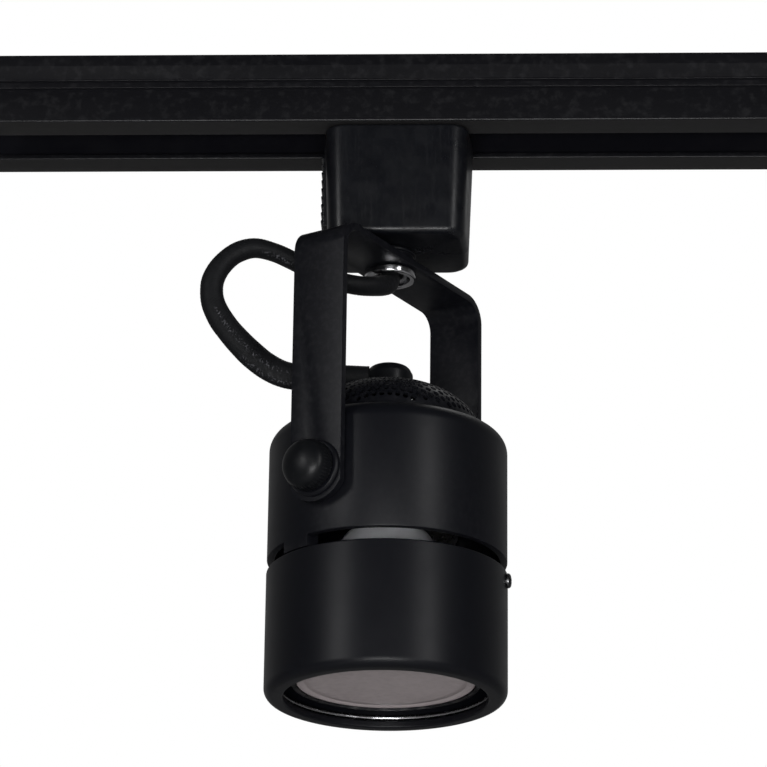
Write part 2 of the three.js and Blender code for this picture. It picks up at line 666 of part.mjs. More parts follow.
// A folded strip across the housing, under the dome's flange, that carries the socket.
function socketBracket() {
  const { reach, halfWidth, thickness, wireHole } = BRACKET;
  const underFlange = HEAD_TOP - HOUSING.wall - 2 * GAP - DOME.wall;
  const top = BRACKET_BOTTOM + thickness;
  const bar = box(-reach, reach, -halfWidth, halfWidth, BRACKET_BOTTOM, top);
  const rightLug = box(reach - thickness, reach, -halfWidth, halfWidth, BRACKET_BOTTOM, underFlange);
  const leftLug = box(-reach, thickness - reach, -halfWidth, halfWidth, BRACKET_BOTTOM, underFlange);
  const holes = [[-SOCKET_SCREW_X, 1.5], [SOCKET_SCREW_X, 1.5], [0, wireHole]].map(([x, radius]) =>
    rod(radius, BRACKET_BOTTOM - 1, top + 1, 12).translate(x, 0, 0));
  return cut(join(bar, rightLug, leftLug), ...holes);
}

function lampLead(side) {
  const x = side * 1.4;
  const stemEnd = HEAD_TOP + DOME.height - STEM_LENGTH;
  const middle = (BRACKET_BOTTOM + stemEnd) / 2;
  const heights = [SOCKET_TOP + GAP, BRACKET_BOTTOM + 2, middle, stemEnd - GAP];
  return tube(heights.map((z) => vec(x, z === middle ? side * 1.5 : 0, z)), 0.9, 6, 8);
}

function head() {
  const group = new THREE.Group();
  group.add(piece("rear_housing", rearHousing(), BLACK_COAT));
  group.add(piece("front_shade", frontShade(), BLACK_COAT));
  for (const [label, angle] of Object.entries(SHADE_SCREW_ANGLES)) {
    group.add(piece(`shade_screw_${label}`, shadeScrew(angle), STEEL));
  }
  group.add(piece("vent_dome", ventDome(), BLACK_COAT));
  group.add(piece("cord_bushing", cordBushing(), BLACK_PLASTIC));
  group.add(piece("snap_ring", snapRing(), STEEL));
  group.add(piece("lamp_body", lampBody(), LAMP_WHITE));
  group.add(piece("lamp_lens", lampLens(), LENS_GLASS));
  group.add(piece("lamp_base", rod(LAMP.base, LAMP_BACK + GAP, BASE_TOP), CERAMIC));
  group.add(piece("lamp_socket", lampSocket(), CERAMIC));
  group.add(piece("socket_bracket", socketBracket(), STEEL));
  for (const [label, side] of [["left", -1], ["right", 1]]) {
    group.add(piece(`lamp_pin_${label}`, lampPin(side), STEEL));
    group.add(piece(`socket_screw_${label}`, socketScrew(side), STEEL));
    group.add(piece(`lamp_lead_${label}`, lampLead(side), NYLON));
  }
  for (const [label, side] of [["near", -1], ["far", 1]]) {
    const insert = ring(INSERT.outer, STUD.hole, INSERT.from, INSERT.to, 16);
    group.add(piece(`pivot_insert_${label}`, onPivot(insert, side), STEEL));
  }
  return group;
}

// ---- cord ---------------------------------------------------------------------------------------

// The cord's route from the ring nut to the bushing: how far out it hangs, how far it stands towards
// the front, and its height.
const CORD_ROUTE = [
  [0.0, 0.0, NIPPLE_BOTTOM - GAP],
  [0.8, 1.8, -62.2], [4.3, 5.2, -64.2], [9.2, 7.4, -65.0], [15.2, 8.4, -64.1],
  [20.7, 9.0, -62.0], [25.9, 9.0, -59.3], [31.6, 8.9, -56.6], [37.2, 8.5, -55.2], [42.2, 8.2, -56.7],
  [46.0, 7.9, -60.2], [48.1, 7.6, -64.1], [48.5, 7.3, -67.7], [47.9, 7.0, -71.2], [46.1, 6.8, -75.0],
  [43.7, 6.6, -78.4], [40.7, 6.3, -81.8], [37.4, 5.9, -85.0], [33.6, 5.3, -87.9], [29.3, 4.5, -89.9],
  [24.7, 3.3, -90.4], [18.7, 1.4, -89.6], [13.5, 0.3, STRAIGHT_END_Z - 0.1], [10.0, 0.0, STRAIGHT_END_Z],
  [BUSHING.flat + GAP, 0.0, STRAIGHT_END_Z],
];

function cordSleeve() {
  const points = CORD_ROUTE.map(([out, front, z]) => vec(out, front, z));
  return tube(points, CORD_RADIUS, 8, 52).rotateZ(LOOP_YAW);
}

// ---- assembly -----------------------------------------------------------------------------------

const spotlight = new THREE.Group();
const turning = new THREE.Group();
turning.rotation.z = YOKE_YAW;
turning.add(yokePieces(), head(), piece("power_cord", cordSleeve(), BRAID));
spotlight.add(track(), adapter(), turning);

export default spotlight;
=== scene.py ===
"""Looks for the track spotlight, in metres: +Z up, X along the track, origin on its top face."""

import json
import math
from bisect import bisect_right

import bmesh
import bpy
from mathutils import Matrix, Vector
from mathutils.geometry import delaunay_2d_cdt


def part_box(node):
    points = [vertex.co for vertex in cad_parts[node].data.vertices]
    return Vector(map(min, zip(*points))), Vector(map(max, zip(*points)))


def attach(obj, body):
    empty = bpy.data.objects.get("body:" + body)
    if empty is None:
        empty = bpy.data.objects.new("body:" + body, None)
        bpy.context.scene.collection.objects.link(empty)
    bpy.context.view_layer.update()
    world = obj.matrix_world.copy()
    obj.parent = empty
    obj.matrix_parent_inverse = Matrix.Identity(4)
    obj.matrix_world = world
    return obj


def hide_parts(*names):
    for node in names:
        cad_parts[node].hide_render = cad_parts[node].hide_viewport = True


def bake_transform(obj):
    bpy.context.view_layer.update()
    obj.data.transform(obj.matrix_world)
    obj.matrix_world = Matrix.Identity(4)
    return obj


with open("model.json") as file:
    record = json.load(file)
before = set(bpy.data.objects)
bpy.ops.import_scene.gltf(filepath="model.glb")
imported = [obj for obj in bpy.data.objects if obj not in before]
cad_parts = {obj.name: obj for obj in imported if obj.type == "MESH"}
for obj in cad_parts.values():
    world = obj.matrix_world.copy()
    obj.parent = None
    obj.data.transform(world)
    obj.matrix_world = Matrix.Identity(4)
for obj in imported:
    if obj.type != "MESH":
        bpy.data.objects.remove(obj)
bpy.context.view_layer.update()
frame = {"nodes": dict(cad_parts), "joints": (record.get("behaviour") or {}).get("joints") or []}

MM = 0.001
TAU = 2 * math.pi


# ---- places read from the frame -----------------------------------------------------------------

def joint(name):
    return next(j for j in frame["joints"] if j["name"] == name)


def low(node):
    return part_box(node)[0]


def high(node):
    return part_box(node)[1]


def middle(node):
    return (low(node) + high(node)) / 2


PIVOT = Vector(joint("head_tilt")["pos_m"])
ACROSS = Vector(joint("head_tilt")["axis"]).normalized()      # from the near arm to the far arm
YOKE_YAW = math.atan2(ACROSS.y, ACROSS.x)
YOKE_TURN = Matrix.Rotation(YOKE_YAW, 4, "Z")
NEAR_ARM_ANGLE = YOKE_YAW + math.pi
LOOP_YAW = YOKE_YAW + math.radians(124)                     # the way the cord's loop hangs out
LOOP_TURN = Matrix.Rotation(LOOP_YAW, 4, "Z")

HEAD_TOP = high("rear_housing").z
SHADE_TOP = high("front_shade").z
SHADE_BOTTOM = low("front_shade").z
SLOT_TOP = SHADE_TOP + 3.4 * MM
ADAPTER_TOP = high("adapter_front_shell").z
ADAPTER_BOTTOM = low("adapter_front_shell").z
STRAP_TOP = high("yoke_bracket").z


# ---- camera -------------------------------------------------------------------------------------

def add_camera():
    """Looks up at the lamp from below and in front, about 0.9 m away."""
    turn = math.radians(2.413)
    position = Matrix.Rotation(turn, 3, "Z") @ Vector((-5.06, -928.3, 0)) + Vector((0, 0, -447.6))
    pitch = math.radians(21.045)
    heading = turn - math.radians(0.217)
    roll = math.radians(0.704)
    data = bpy.data.cameras.new("camera")
    data.sensor_width = 36
    data.lens = 172.8
    data.clip_end = 50
    camera = bpy.data.objects.new("camera", data)
    camera.matrix_world = (
        Matrix.Translation(position * MM) @ Matrix.Rotation(heading, 4, "Z")
        @ Matrix.Rotation(math.pi / 2 + pitch, 4, "X") @ Matrix.Rotation(roll, 4, "Z")
    )
    bpy.context.scene.collection.objects.link(camera)
    bpy.context.scene.camera = camera


add_camera()


# ---- the supply cord ----------------------------------------------------------------------------

BUSHING_FLAT = 5.4         # how far the bushing's flat side stands from its axis, in mm
STRAIGHT_END_Z = -88.7     # the height at which the cord enters the bushing
CORD_EXIT_Z = low("swivel_nipple").z / MM - 0.3
# How far out from the swivel the cord hangs, how far it stands towards the front, and its height, in mm.
CORD_ROUTE = [
    (0.0, 0.0, CORD_EXIT_Z),
    (0.8, 1.8, -62.2), (4.3, 5.2, -64.2), (9.2, 7.4, -65.0), (15.2, 8.4, -64.1),
    (20.7, 9.0, -62.0), (25.9, 9.0, -59.3), (31.6, 8.9, -56.6), (37.2, 8.5, -55.2), (42.2, 8.2, -56.7),
    (46.0, 7.9, -60.2), (48.1, 7.6, -64.1), (48.5, 7.3, -67.7), (47.9, 7.0, -71.2), (46.1, 6.8, -75.0),
    (43.7, 6.6, -78.4), (40.7, 6.3, -81.8), (37.4, 5.9, -85.0), (33.6, 5.3, -87.9), (29.3, 4.5, -89.9),
    (24.7, 3.3, -90.4), (18.7, 1.4, -89.6), (13.5, 0.3, STRAIGHT_END_Z - 0.1), (10.0, 0.0, STRAIGHT_END_Z),
    (BUSHING_FLAT + 0.03, 0.0, STRAIGHT_END_Z),
]
# The sleeve is soft and flattens as it bends: share of the way, width seen from the side, depth, in mm.
CORD_SECTIONS = [(0, 5.4, 6.0), (0.12, 5.0, 6.4), (0.32, 4.9, 6.2), (0.42, 5.6, 5.8), (0.52, 6.2, 5.4),
                 (0.62, 6.9, 5.0), (0.72, 7.5, 4.8), (0.86, 7.4, 4.8), (0.95, 6.2, 5.4), (1, 6.0, 5.6)]


# ---- mesh tools ---------------------------------------------------------------------------------

def new_object(name, verts, faces):
    mesh = bpy.data.meshes.new(name)
    mesh.from_pydata([tuple(v) for v in verts], [], faces)
    tidy_mesh(mesh)
    thing = bpy.data.objects.new(name, mesh)
    bpy.context.scene.collection.objects.link(thing)
    return thing


def tidy_mesh(mesh, weld=1e-7):
    """Welds doubled points and turns every face outwards."""
    bm = bmesh.new()
    bm.from_mesh(mesh)
    bmesh.ops.remove_doubles(bm, verts=bm.verts, dist=weld)
    bmesh.ops.dissolve_degenerate(bm, edges=bm.edges, dist=weld)
    bmesh.ops.recalc_face_normals(bm, faces=bm.faces)
    bm.to_mesh(mesh)
    bm.free()


def smooth(thing, degrees=32):
    thing.data.shade_smooth()
    thing.data.set_sharp_from_angle(angle=math.radians(degrees))
    return thing


def moved(thing, matrix):
    thing.data.transform(matrix)
    return thing


def apply_modifiers(thing):
    bpy.context.view_layer.update()
    evaluated = thing.evaluated_get(bpy.context.evaluated_depsgraph_get())
    mesh = bpy.data.meshes.new_from_object(evaluated)
    thing.modifiers.clear()
    thing.data = mesh
    return thing


def boolean(thing, operation, *tools):
    for tool in tools:
        modifier = thing.modifiers.new("boolean", "BOOLEAN")
        modifier.operation = operation
        modifier.solver = "EXACT"
        modifier.object = tool
    apply_modifiers(thing)
    for tool in tools:
        bpy.data.objects.remove(tool)
    tidy_mesh(thing.data, 1e-6)
    return thing


def bevelled(thing, width, segments=3, degrees=35):
    modifier = thing.modifiers.new("bevel", "BEVEL")
    modifier.width = width
    modifier.segments = segments
    modifier.limit_method = "ANGLE"
    modifier.angle_limit = math.radians(degrees)
    modifier.use_clamp_overlap = True
    return apply_modifiers(thing)


def arc(cx, cy, radius, start, end, steps):
    """The points of an arc, between two angles in degrees."""
    angles = [math.radians(start + (end - start) * i / steps) for i in range(steps + 1)]
    return [(cx + radius * math.cos(a), cy + radius * math.sin(a)) for a in angles]


def rounded(corners, steps=5):
    """An outline from corners (x, y) or (x, y, radius); a corner with a radius becomes an arc."""
    points = []
    count = len(corners)
    for i, corner in enumerate(corners):
        here = Vector(corner[:2])
        radius = corner[2] if len(corner) > 2 else 0
        before = Vector(corners[i - 1][:2]) - here
        after = Vector(corners[(i + 1) % count][:2]) - here
        if radius == 0 or before.length == 0 or after.length == 0:
            points.append(tuple(here))
            continue
        half = before.angle(after) / 2
        reach = min(radius / math.tan(half), before.length * 0.49, after.length * 0.49)
        centre = here + (before.normalized() + after.normalized()).normalized() * reach / math.cos(half)
        start = here + before.normalized() * reach - centre
        end = here + after.normalized() * reach - centre
        sweep = start.angle_signed(end)
        for k in range(steps + 1):
            turn = Matrix.Rotation(-sweep * k / steps, 2)
            points.append(tuple(centre + turn @ start))
    return points


def turned(name, profile, segments=128, radius_at=None):
    """A solid turned about Z from a closed profile of (radius, z) in mm. radius_at may ripple it."""
    rings = []
    verts = []
    for r, z in profile:
        if r < 1e-6:
            rings.append([len(verts)] * segments)
            verts.append(Vector((0, 0, z * MM)))
            continue
        rings.append(list(range(len(verts), len(verts) + segments)))
        for k in range(segments):
            angle = TAU * k / segments
            reach = radius_at(angle, r, z) if radius_at else r
            verts.append(Vector((reach * math.cos(angle), reach * math.sin(angle), z)) * MM)
    faces = []
    for i in range(len(profile)):
        a, b = rings[i], rings[(i + 1) % len(profile)]
        for k in range(segments):
            n = (k + 1) % segments
            quad = [a[k], a[n], b[n], b[k]]
            face = [v for j, v in enumerate(quad) if v != quad[j - 1]]
            if len(face) > 2:
                faces.append(face)
    return new_object(name, verts, faces)


def rod(name, radius, bottom, top, segments):
    """A cylinder on Z, in mm."""
    return turned(name, [(0, bottom), (radius, bottom), (radius, top), (0, top)], segments)


def extruded(name, outline, bottom, top):
    """A solid with a flat outline in mm, from one height to another."""
    count = len(outline)
    verts = [Vector((x, y, z)) * MM for z in (bottom, top) for x, y in outline]
    faces = [list(range(count))[::-1], list(range(count, 2 * count))]
    faces += [[i, (i + 1) % count, (i + 1) % count + count, i + count] for i in range(count)]
    return new_object(name, verts, faces)


def block(name, x0, x1, y0, y1, z0, z1):
    return extruded(name, [(x0, y0), (x1, y0), (x1, y1), (x0, y1)], z0, z1)


def upright_along_y(thing):
    """Stands an outline drawn in (X, Z) so that its depth runs along Y."""
    return moved(thing, Matrix(((1, 0, 0, 0), (0, 0, -1, 0), (0, 1, 0, 0), (0, 0, 0, 1))))


def upright_along_x(thing):
    """Stands an outline drawn in (Y, Z) so that its height runs along X."""
    return moved(thing, Matrix(((0, 0, 1, 0), (1, 0, 0, 0), (0, 1, 0, 0), (0, 0, 0, 1))))


def swept(name, centres, section_at, closed=False, facing=None):
    """A tube along a list of points. section_at(i, share) gives the section's (x, y) points there.
    The section's x follows the tube without twisting, or keeps to the way of facing."""
    count = len(centres)
    tangents = []
    for i in range(count):
        ahead = centres[(i + 1) % count] if closed or i < count - 1 else centres[i]
        behind = centres[i - 1] if closed or i > 0 else centres[i]
        tangents.append((ahead - behind).normalized())
    side = tangents[0].orthogonal().normalized()
    verts = []
    for i in range(count):
        side = facing or side
        side = (side - tangents[i] * side.dot(tangents[i])).normalized()
        up = tangents[i].cross(side)
        section = section_at(i, i / (count - 1))
        verts += [centres[i] + side * x + up * y for x, y in section]
    sides = len(verts) // count
    faces = []
    for i in range(count if closed else count - 1):
        a, b = i * sides, (i + 1) % count * sides
        faces += [[a + k, a + (k + 1) % sides, b + (k + 1) % sides, b + k] for k in range(sides)]
    if not closed:
        faces += [list(range(sides))[::-1], list(range((count - 1) * sides, count * sides))]
    return new_object(name, verts, faces)


def spline(points, spacing):
    """Even steps along a smooth curve through the points."""
    fine = []
    for i in range(len(points) - 1):
        p0 = points[i - 1] if i else points[0] * 2 - points[1]
        p1, p2 = points[i], points[i + 1]
        p3 = points[i + 2] if i + 2 < len(points) else p2 * 2 - p1
        for k in range(24):
            t = k / 24
            fine.append(0.5 * (2 * p1 + (p2 - p0) * t + (2 * p0 - 5 * p1 + 4 * p2 - p3) * t * t
                               + (3 * p1 - p0 - 3 * p2 + p3) * t ** 3))
    fine.append(points[-1])
    lengths = [0]
    for a, b in zip(fine, fine[1:]):
        lengths.append(lengths[-1] + (b - a).length)
    steps = max(2, round(lengths[-1] / spacing))
    even, j = [], 0
    for i in range(steps + 1):
        target = lengths[-1] * i / steps
        while j < len(lengths) - 2 and lengths[j + 1] < target:
            j += 1
        share = (target - lengths[j]) / max(lengths[j + 1] - lengths[j], 1e-12)
        even.append(fine[j].lerp(fine[j + 1], min(share, 1)))
    return even


def outer_turned(thing, side):
    """Lays a piece turned about Z along the pivot axis: side -1 points out at the near arm, +1 at the far."""
    facing = Matrix.Rotation(math.pi, 4, "Z") if side < 0 else Matrix.Identity(4)
    return moved(thing, Matrix.Translation(PIVOT) @ YOKE_TURN @ facing @ Matrix.Rotation(math.pi / 2, 4, "Y"))


# ---- materials ----------------------------------------------------------------------------------

class Finish:
    """One procedural material: a Principled shader with its colour, roughness and bump built from noise."""

    def __init__(self, name, color, roughness, metallic=0.0, gloss=0.5):
        self.material = bpy.data.materials.new(name)
        self.material.use_nodes = True
        self.nodes = self.material.node_tree.nodes
        self.links = self.material.node_tree.links
        self.shader = self.nodes["Principled BSDF"]
        self.shader.inputs["Base Color"].default_value = (*color, 1)
        self.shader.inputs["Roughness"].default_value = roughness
        self.shader.inputs["Metallic"].default_value = metallic
        self.shader.inputs["Specular IOR Level"].default_value = gloss
        self.color = color
        self.roughness = roughness
        self.place = self.nodes.new("ShaderNodeTexCoord").outputs["Object"]
        self.height = None
        self.tint = None

    def noise(self, scale, detail=4, stretch=None, roughness=0.55):
        node = self.nodes.new("ShaderNodeTexNoise")
        node.inputs["Scale"].default_value = scale
        node.inputs["Detail"].default_value = detail
        node.inputs["Roughness"].default_value = roughness
        place = self.place
        if stretch:
            mapping = self.nodes.new("ShaderNodeMapping")
            mapping.inputs["Scale"].default_value = stretch
            self.links.new(self.place, mapping.inputs["Vector"])
            place = mapping.outputs["Vector"]
        self.links.new(place, node.inputs["Vector"])
        return node.outputs["Fac"]

    def voronoi(self, scale, feature="F1"):
        node = self.nodes.new("ShaderNodeTexVoronoi")
        node.feature = feature
        node.inputs["Scale"].default_value = scale
        self.links.new(self.place, node.inputs["Vector"])
        return node.outputs["Distance"]

    def ramp(self, value, low_at, high_at, low_value=0.0, high_value=1.0):
        node = self.nodes.new("ShaderNodeMapRange")
        node.inputs["From Min"].default_value = low_at
        node.inputs["From Max"].default_value = high_at
        node.inputs["To Min"].default_value = low_value
        node.inputs["To Max"].default_value = high_value
        self.links.new(value, node.inputs["Value"])
        return node.outputs["Result"]

    def math(self, operation, a, b):
        node = self.nodes.new("ShaderNodeMath")
        node.operation = operation
        for socket, value in zip(node.inputs, (a, b)):
            if isinstance(value, (int, float)):
                socket.default_value = value
            else:
                self.links.new(value, socket)
        return node.outputs["Value"]

    def edges(self, low_at=0.51, high_at=0.56):
        """1 on convex edges, where the finish wears."""
        node = self.nodes.new("ShaderNodeNewGeometry")
        return self.ramp(node.outputs["Pointiness"], low_at, high_at)

    def upward(self, low_at=0.4, high_at=1.0):
        node = self.nodes.new("ShaderNodeNewGeometry")
        split = self.nodes.new("ShaderNodeSeparateXYZ")
        self.links.new(node.outputs["Normal"], split.inputs["Vector"])
        return self.ramp(split.outputs["Z"], low_at, high_at)

    def mix_color(self, share, color):
        """Blends another colour over what is there, by a share from 0 to 1."""
        node = self.nodes.new("ShaderNodeMix")
        node.data_type = "RGBA"
        node.inputs[6].default_value = (*self.color, 1)
        if self.tint is not None:
            self.links.new(self.tint, node.inputs[6])
        node.inputs[7].default_value = (*color, 1)
        self.links.new(share, node.inputs[0])
        self.tint = node.outputs[2]
        self.links.new(self.tint, self.shader.inputs["Base Color"])

    def mottle(self, value, low_at, high_at, most, color):
        """Blends in a colour where a value is high."""
        self.mix_color(self.ramp(value, low_at, high_at, 0, most), color)

    def rub_edges(self, scale, low_at, high_at, least, most, color):
        """Blends in a colour on the edges, in patches."""
        patches = self.ramp(self.noise(scale), low_at, high_at, least, most)
        self.mix_color(self.math("MULTIPLY", self.edges(), patches), color)

    def vary_roughness(self, value, low_value, high_value, low_at=0.3, high_at=0.7):
        result = self.ramp(value, low_at, high_at, low_value, high_value)
        self.links.new(result, self.shader.inputs["Roughness"])

    def bump(self, value, distance, strength=1.0):
        """Adds a height in metres to the surface's bump."""
        node = self.nodes.new("ShaderNodeBump")
        node.inputs["Distance"].default_value = distance
        node.inputs["Strength"].default_value = strength
        self.links.new(value, node.inputs["Height"])
        if self.height is not None:
            self.links.new(self.height, node.inputs["Normal"])
        self.height = node.outputs["Normal"]
        self.links.new(self.height, self.shader.inputs["Normal"])


def powder_coat(name="black powder coat", color=(0.0036, 0.0039, 0.0058), roughness=0.38):
    """Satin black powder coat: fine orange peel, faint mottling, a little scuffed at the edges, light dust.
    """
    f = Finish(name, color, roughness, gloss=0.2)
    f.mottle(f.noise(90), 0.35, 0.75, 0.3, tuple(c * 1.25 for c in color))
    f.rub_edges(700, 0.45, 0.7, 0.03, 0.35, (0.022, 0.022, 0.025))
    dust = f.math("MULTIPLY", f.upward(0.5, 1.0), f.ramp(f.noise(1400), 0.5, 0.8, 0.02, 0.3))
    f.mix_color(dust, (0.05, 0.048, 0.045))
    f.vary_roughness(f.noise(160), roughness - 0.01, roughness + 0.03)
    f.bump(f.noise(2600, 2), 0.00003, 0.5)
    f.bump(f.voronoi(5200, "SMOOTH_F1"), 0.00001, 0.45)
    return f.material


def moulded_plastic(name="black moulded plastic", color=(0.0038, 0.0042, 0.0058), roughness=0.26, gloss=0.3):
    """Semi-gloss black moulding: spark-eroded grain, flow marks, hairline scuffs."""
    f = Finish(name, color, roughness, gloss=gloss)
    f.mottle(f.noise(60), 0.4, 0.7, 0.4, tuple(c * 1.8 for c in color))
    f.rub_edges(900, 0.5, 0.75, 0, 0.4, (0.035, 0.035, 0.038))
    scuffs = f.ramp(f.noise(1500, 6, (1, 1, 0.06)), 0.56, 0.72)
    uneven = f.math("ADD", f.math("MULTIPLY", scuffs, 0.35), f.noise(220))
    f.vary_roughness(uneven, roughness, roughness + 0.16)
    f.bump(f.voronoi(4200, "SMOOTH_F1"), 0.000012, 0.35)
    f.bump(f.noise(320, 2), 0.00006, 0.25)
    return f.material


def satin_track_paint():
    """Black paint on an aluminium extrusion: drawn lines along X, faint rubs on the edges."""
    f = Finish("black track paint", (0.0045, 0.0045, 0.0058), 0.34, gloss=0.22)
    f.mottle(f.noise(40, 4, (0.15, 1, 1)), 0.3, 0.8, 0.25, (0.008, 0.008, 0.0095))
    f.rub_edges(500, 0.5, 0.7, 0, 0.3, (0.03, 0.03, 0.032))
    f.vary_roughness(f.noise(120, 4, (0.1, 1, 1)), 0.30, 0.38)
    f.bump(f.noise(900, 3, (0.02, 1, 1)), 0.00002, 0.4)
    f.bump(f.noise(2400, 2), 0.000015, 0.4)
    return f.material


def track_underside_painted_light():
    """The extrusion's underside: the same paint made lighter, a painted stand-in for the light from below."""
    return powder_coat("black track underside painted lighter", (0.019, 0.0185, 0.0188), 0.5)


def matte_liner():
    f = Finish("dark liner", (0.003, 0.003, 0.005), 0.7, gloss=0.08)
    f.mottle(f.noise(120), 0.4, 0.7, 0.5, (0.007, 0.007, 0.009))
    f.bump(f.noise(1800, 3, (0.05, 1, 1)), 0.00003, 0.4)
    return f.material


def metal(name, color, roughness, grain=(1, 1, 1), scratch=0.4, dull=(0.3, 0.3, 0.3)):
    """Bare or plated metal with fine grain, scratches and dull patches."""
    f = Finish(name, color, roughness, 1.0)
    f.mottle(f.noise(260), 0.45, 0.75, 0.55, dull)
    f.vary_roughness(f.noise(900, 5, grain), roughness * 0.7, roughness * 1.5 + 0.05)
    f.bump(f.noise(2200, 4, grain), 0.00002, scratch)
    return f.material


def ceramic():
    f = Finish("glazed ceramic", (0.72, 0.69, 0.62), 0.35)
    f.mottle(f.noise(300), 0.5, 0.8, 0.5, (0.5, 0.47, 0.41))
    f.vary_roughness(f.noise(500), 0.28, 0.5)
    f.bump(f.noise(1200), 0.00005, 0.4)
    return f.material


def lamp_plastic():
    """Pale grey lamp body, with faint grime."""
    f = Finish("lamp body grey", (0.80, 0.80, 0.84), 0.45)
    f.mottle(f.noise(150), 0.45, 0.75, 0.6, (0.62, 0.62, 0.66))
    f.vary_roughness(f.noise(400), 0.38, 0.6)
    f.bump(f.noise(900), 0.00004, 0.4)
    return f.material


def frosted_cover():
    """Frosted grey lamp cover: milky, slightly mottled, with a fine prismatic grain."""
    f = Finish("frosted lamp cover", (0.42, 0.365, 0.37), 0.42)
    f.shader.inputs["Coat Weight"].default_value = 0.5
    f.shader.inputs["Coat Roughness"].default_value = 0.12
    f.mottle(f.noise(45, 3), 0.35, 0.7, 0.55, (0.31, 0.265, 0.27))
    f.mottle(f.voronoi(620, "SMOOTH_F1"), 0.1, 0.6, 0.4, (0.50, 0.44, 0.445))
    f.vary_roughness(f.noise(300), 0.36, 0.55)
    f.bump(f.voronoi(620, "SMOOTH_F1"), 0.00012, 0.5)
    return f.material


def braided_textile():
    """Black braid: the raised tops of its strands are painted lighter as a painted highlight, with bands of
    pale painted glints.
    """
    f = Finish("black braid with painted glints", (0.0042, 0.0044, 0.0050), 0.6, gloss=0.12)
    f.shader.inputs["Sheen Weight"].default_value = 0.03
    f.shader.inputs["Sheen Roughness"].default_value = 0.45
    strand = f.nodes.new("ShaderNodeAttribute")
    strand.attribute_name = "strand"
    height = strand.outputs["Fac"]
    # Painted highlight: the raised strand tops are painted lighter than the hollows between them.
    f.mottle(height, 0.45, 1.0, 0.8, (0.0085, 0.009, 0.0105))
    # The attribute read here marks the bands of painted glints.
    glint_attribute = f.nodes.new("ShaderNodeAttribute")
    glint_attribute.attribute_name = "painted_glint"
    glint_band = f.ramp(glint_attribute.outputs["Fac"], 0.2, 0.9, 0.01, 1)
    # Painted glints: pale flecks on the raised strand tops inside those bands.
    glint_flecks = f.math("MULTIPLY", f.ramp(f.noise(1700, 3), 0.52, 0.62), glint_band)
    f.mix_color(f.math("MULTIPLY", glint_flecks, f.ramp(height, 0.45, 0.85, 0, 0.9)), (0.095, 0.095, 0.105))
    f.vary_roughness(f.noise(900), 0.42, 0.68)
    f.bump(f.noise(5200, 3), 0.00005, 0.6)
    return f.material


def nylon():
    f = Finish("dark nylon", (0.018, 0.018, 0.019), 0.5)
    f.mottle(f.noise(300), 0.4, 0.7, 0.5, (0.03, 0.03, 0.031))
    f.bump(f.noise(1500), 0.00003, 0.4)
    return f.material


COAT = powder_coat()
PLASTIC = moulded_plastic()
KNOB_PLASTIC = moulded_plastic("soft black knob", (0.0036, 0.0040, 0.0050), 0.3, 0.2)
TRACK_PAINT = satin_track_paint()
UNDERSIDE_PAINTED_LIGHT = track_underside_painted_light()
LINER = matte_liner()
COPPER = metal("aged copper", (0.62, 0.30, 0.13), 0.35, (0.05, 1, 1), 0.4, (0.25, 0.12, 0.06))
STEEL = metal("zinc plated steel", (0.42, 0.42, 0.44), 0.3)
CHROME = metal("bright chrome", (0.62, 0.62, 0.64), 0.12, (1, 1, 1), 0.12, (0.42, 0.42, 0.44))
CERAMIC = ceramic()
LAMP_GREY = lamp_plastic()
COVER = frosted_cover()
BRAID = braided_textile()
NYLON = nylon()


def dress(thing, material, degrees=32):
    thing.data.materials.clear()
    thing.data.materials.append(material)
    return smooth(thing, degrees)


def keep(node, material):
    """A CAD piece whose shape is right as it is: it only gets its finish."""
    thing = frame["nodes"][node]
    thing.data.materials.clear()
    thing.data.materials.append(material)


def fit(thing, body, slot, material, *nodes, degrees=32):
    """Finishes a piece, has it ride on a CAD body, and hides the CAD nodes it stands for."""
    dress(thing, material, degrees)
    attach(thing, body)
    if nodes:
        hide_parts(*nodes)
    return thing


def second_material(thing, material, chosen):
    """Gives another material to the faces that chosen(face) picks."""
    thing.data.materials.append(material)
    for face in thing.data.polygons:
        if chosen(face):
            face.material_index = 1


# ---- the cord's piece ---------------------------------------------------------------------------

def route_in_frame():
    return [LOOP_TURN @ (Vector((out, front, z)) * MM) for out, front, z in CORD_ROUTE]


BRAID_SIDES = 48
BRAID_STRANDS = 12
BRAID_PITCH = 9.0 * MM
BRAID_RISE = 0.24 * MM
# Bands of painted glints: share of the way from, to; angle round the sleeve from its front, and spread, in
# degrees
GLINT_BANDS = [(0.16, 0.36, -45, 15), (0.56, 0.82, 2, 11), (0.68, 0.92, 50, 13)]


def braid_height(angle, distance):
    """How far a point on the sleeve stands out: two sets of strands wind opposite ways, over and under."""
    turn = TAU * distance / BRAID_PITCH
    right = BRAID_STRANDS / 2 * (angle + turn)
    left = BRAID_STRANDS / 2 * (angle - turn)
    over = 0.5 + 0.5 * math.cos(right - left) * math.cos(right + left)
    return over * abs(math.sin(right)) ** 0.5 + (1 - over) * abs(math.sin(left)) ** 0.5


def cord_section(share):
    for (s0, w0, d0), (s1, w1, d1) in zip(CORD_SECTIONS, CORD_SECTIONS[1:]):
        if share <= s1:
            t = (share - s0) / (s1 - s0)
            t = t * t * (3 - 2 * t)
            return w0 + (w1 - w0) * t, d0 + (d1 - d0) * t
    return CORD_SECTIONS[-1][1:]


def painted_glint(angle, share):
    """Where the braid carries painted glints: along one side of the upper run, and twice along the lower run.
    """
    total = 0
    for start, end, at, spread in GLINT_BANDS:
        if start < share < end:
            ends = min(share - start, end - share) / 0.03
            off = math.remainder(angle - math.radians(at), TAU) / math.radians(spread)
            total += min(1, ends) * math.exp(-off * off)
    return min(1, total)


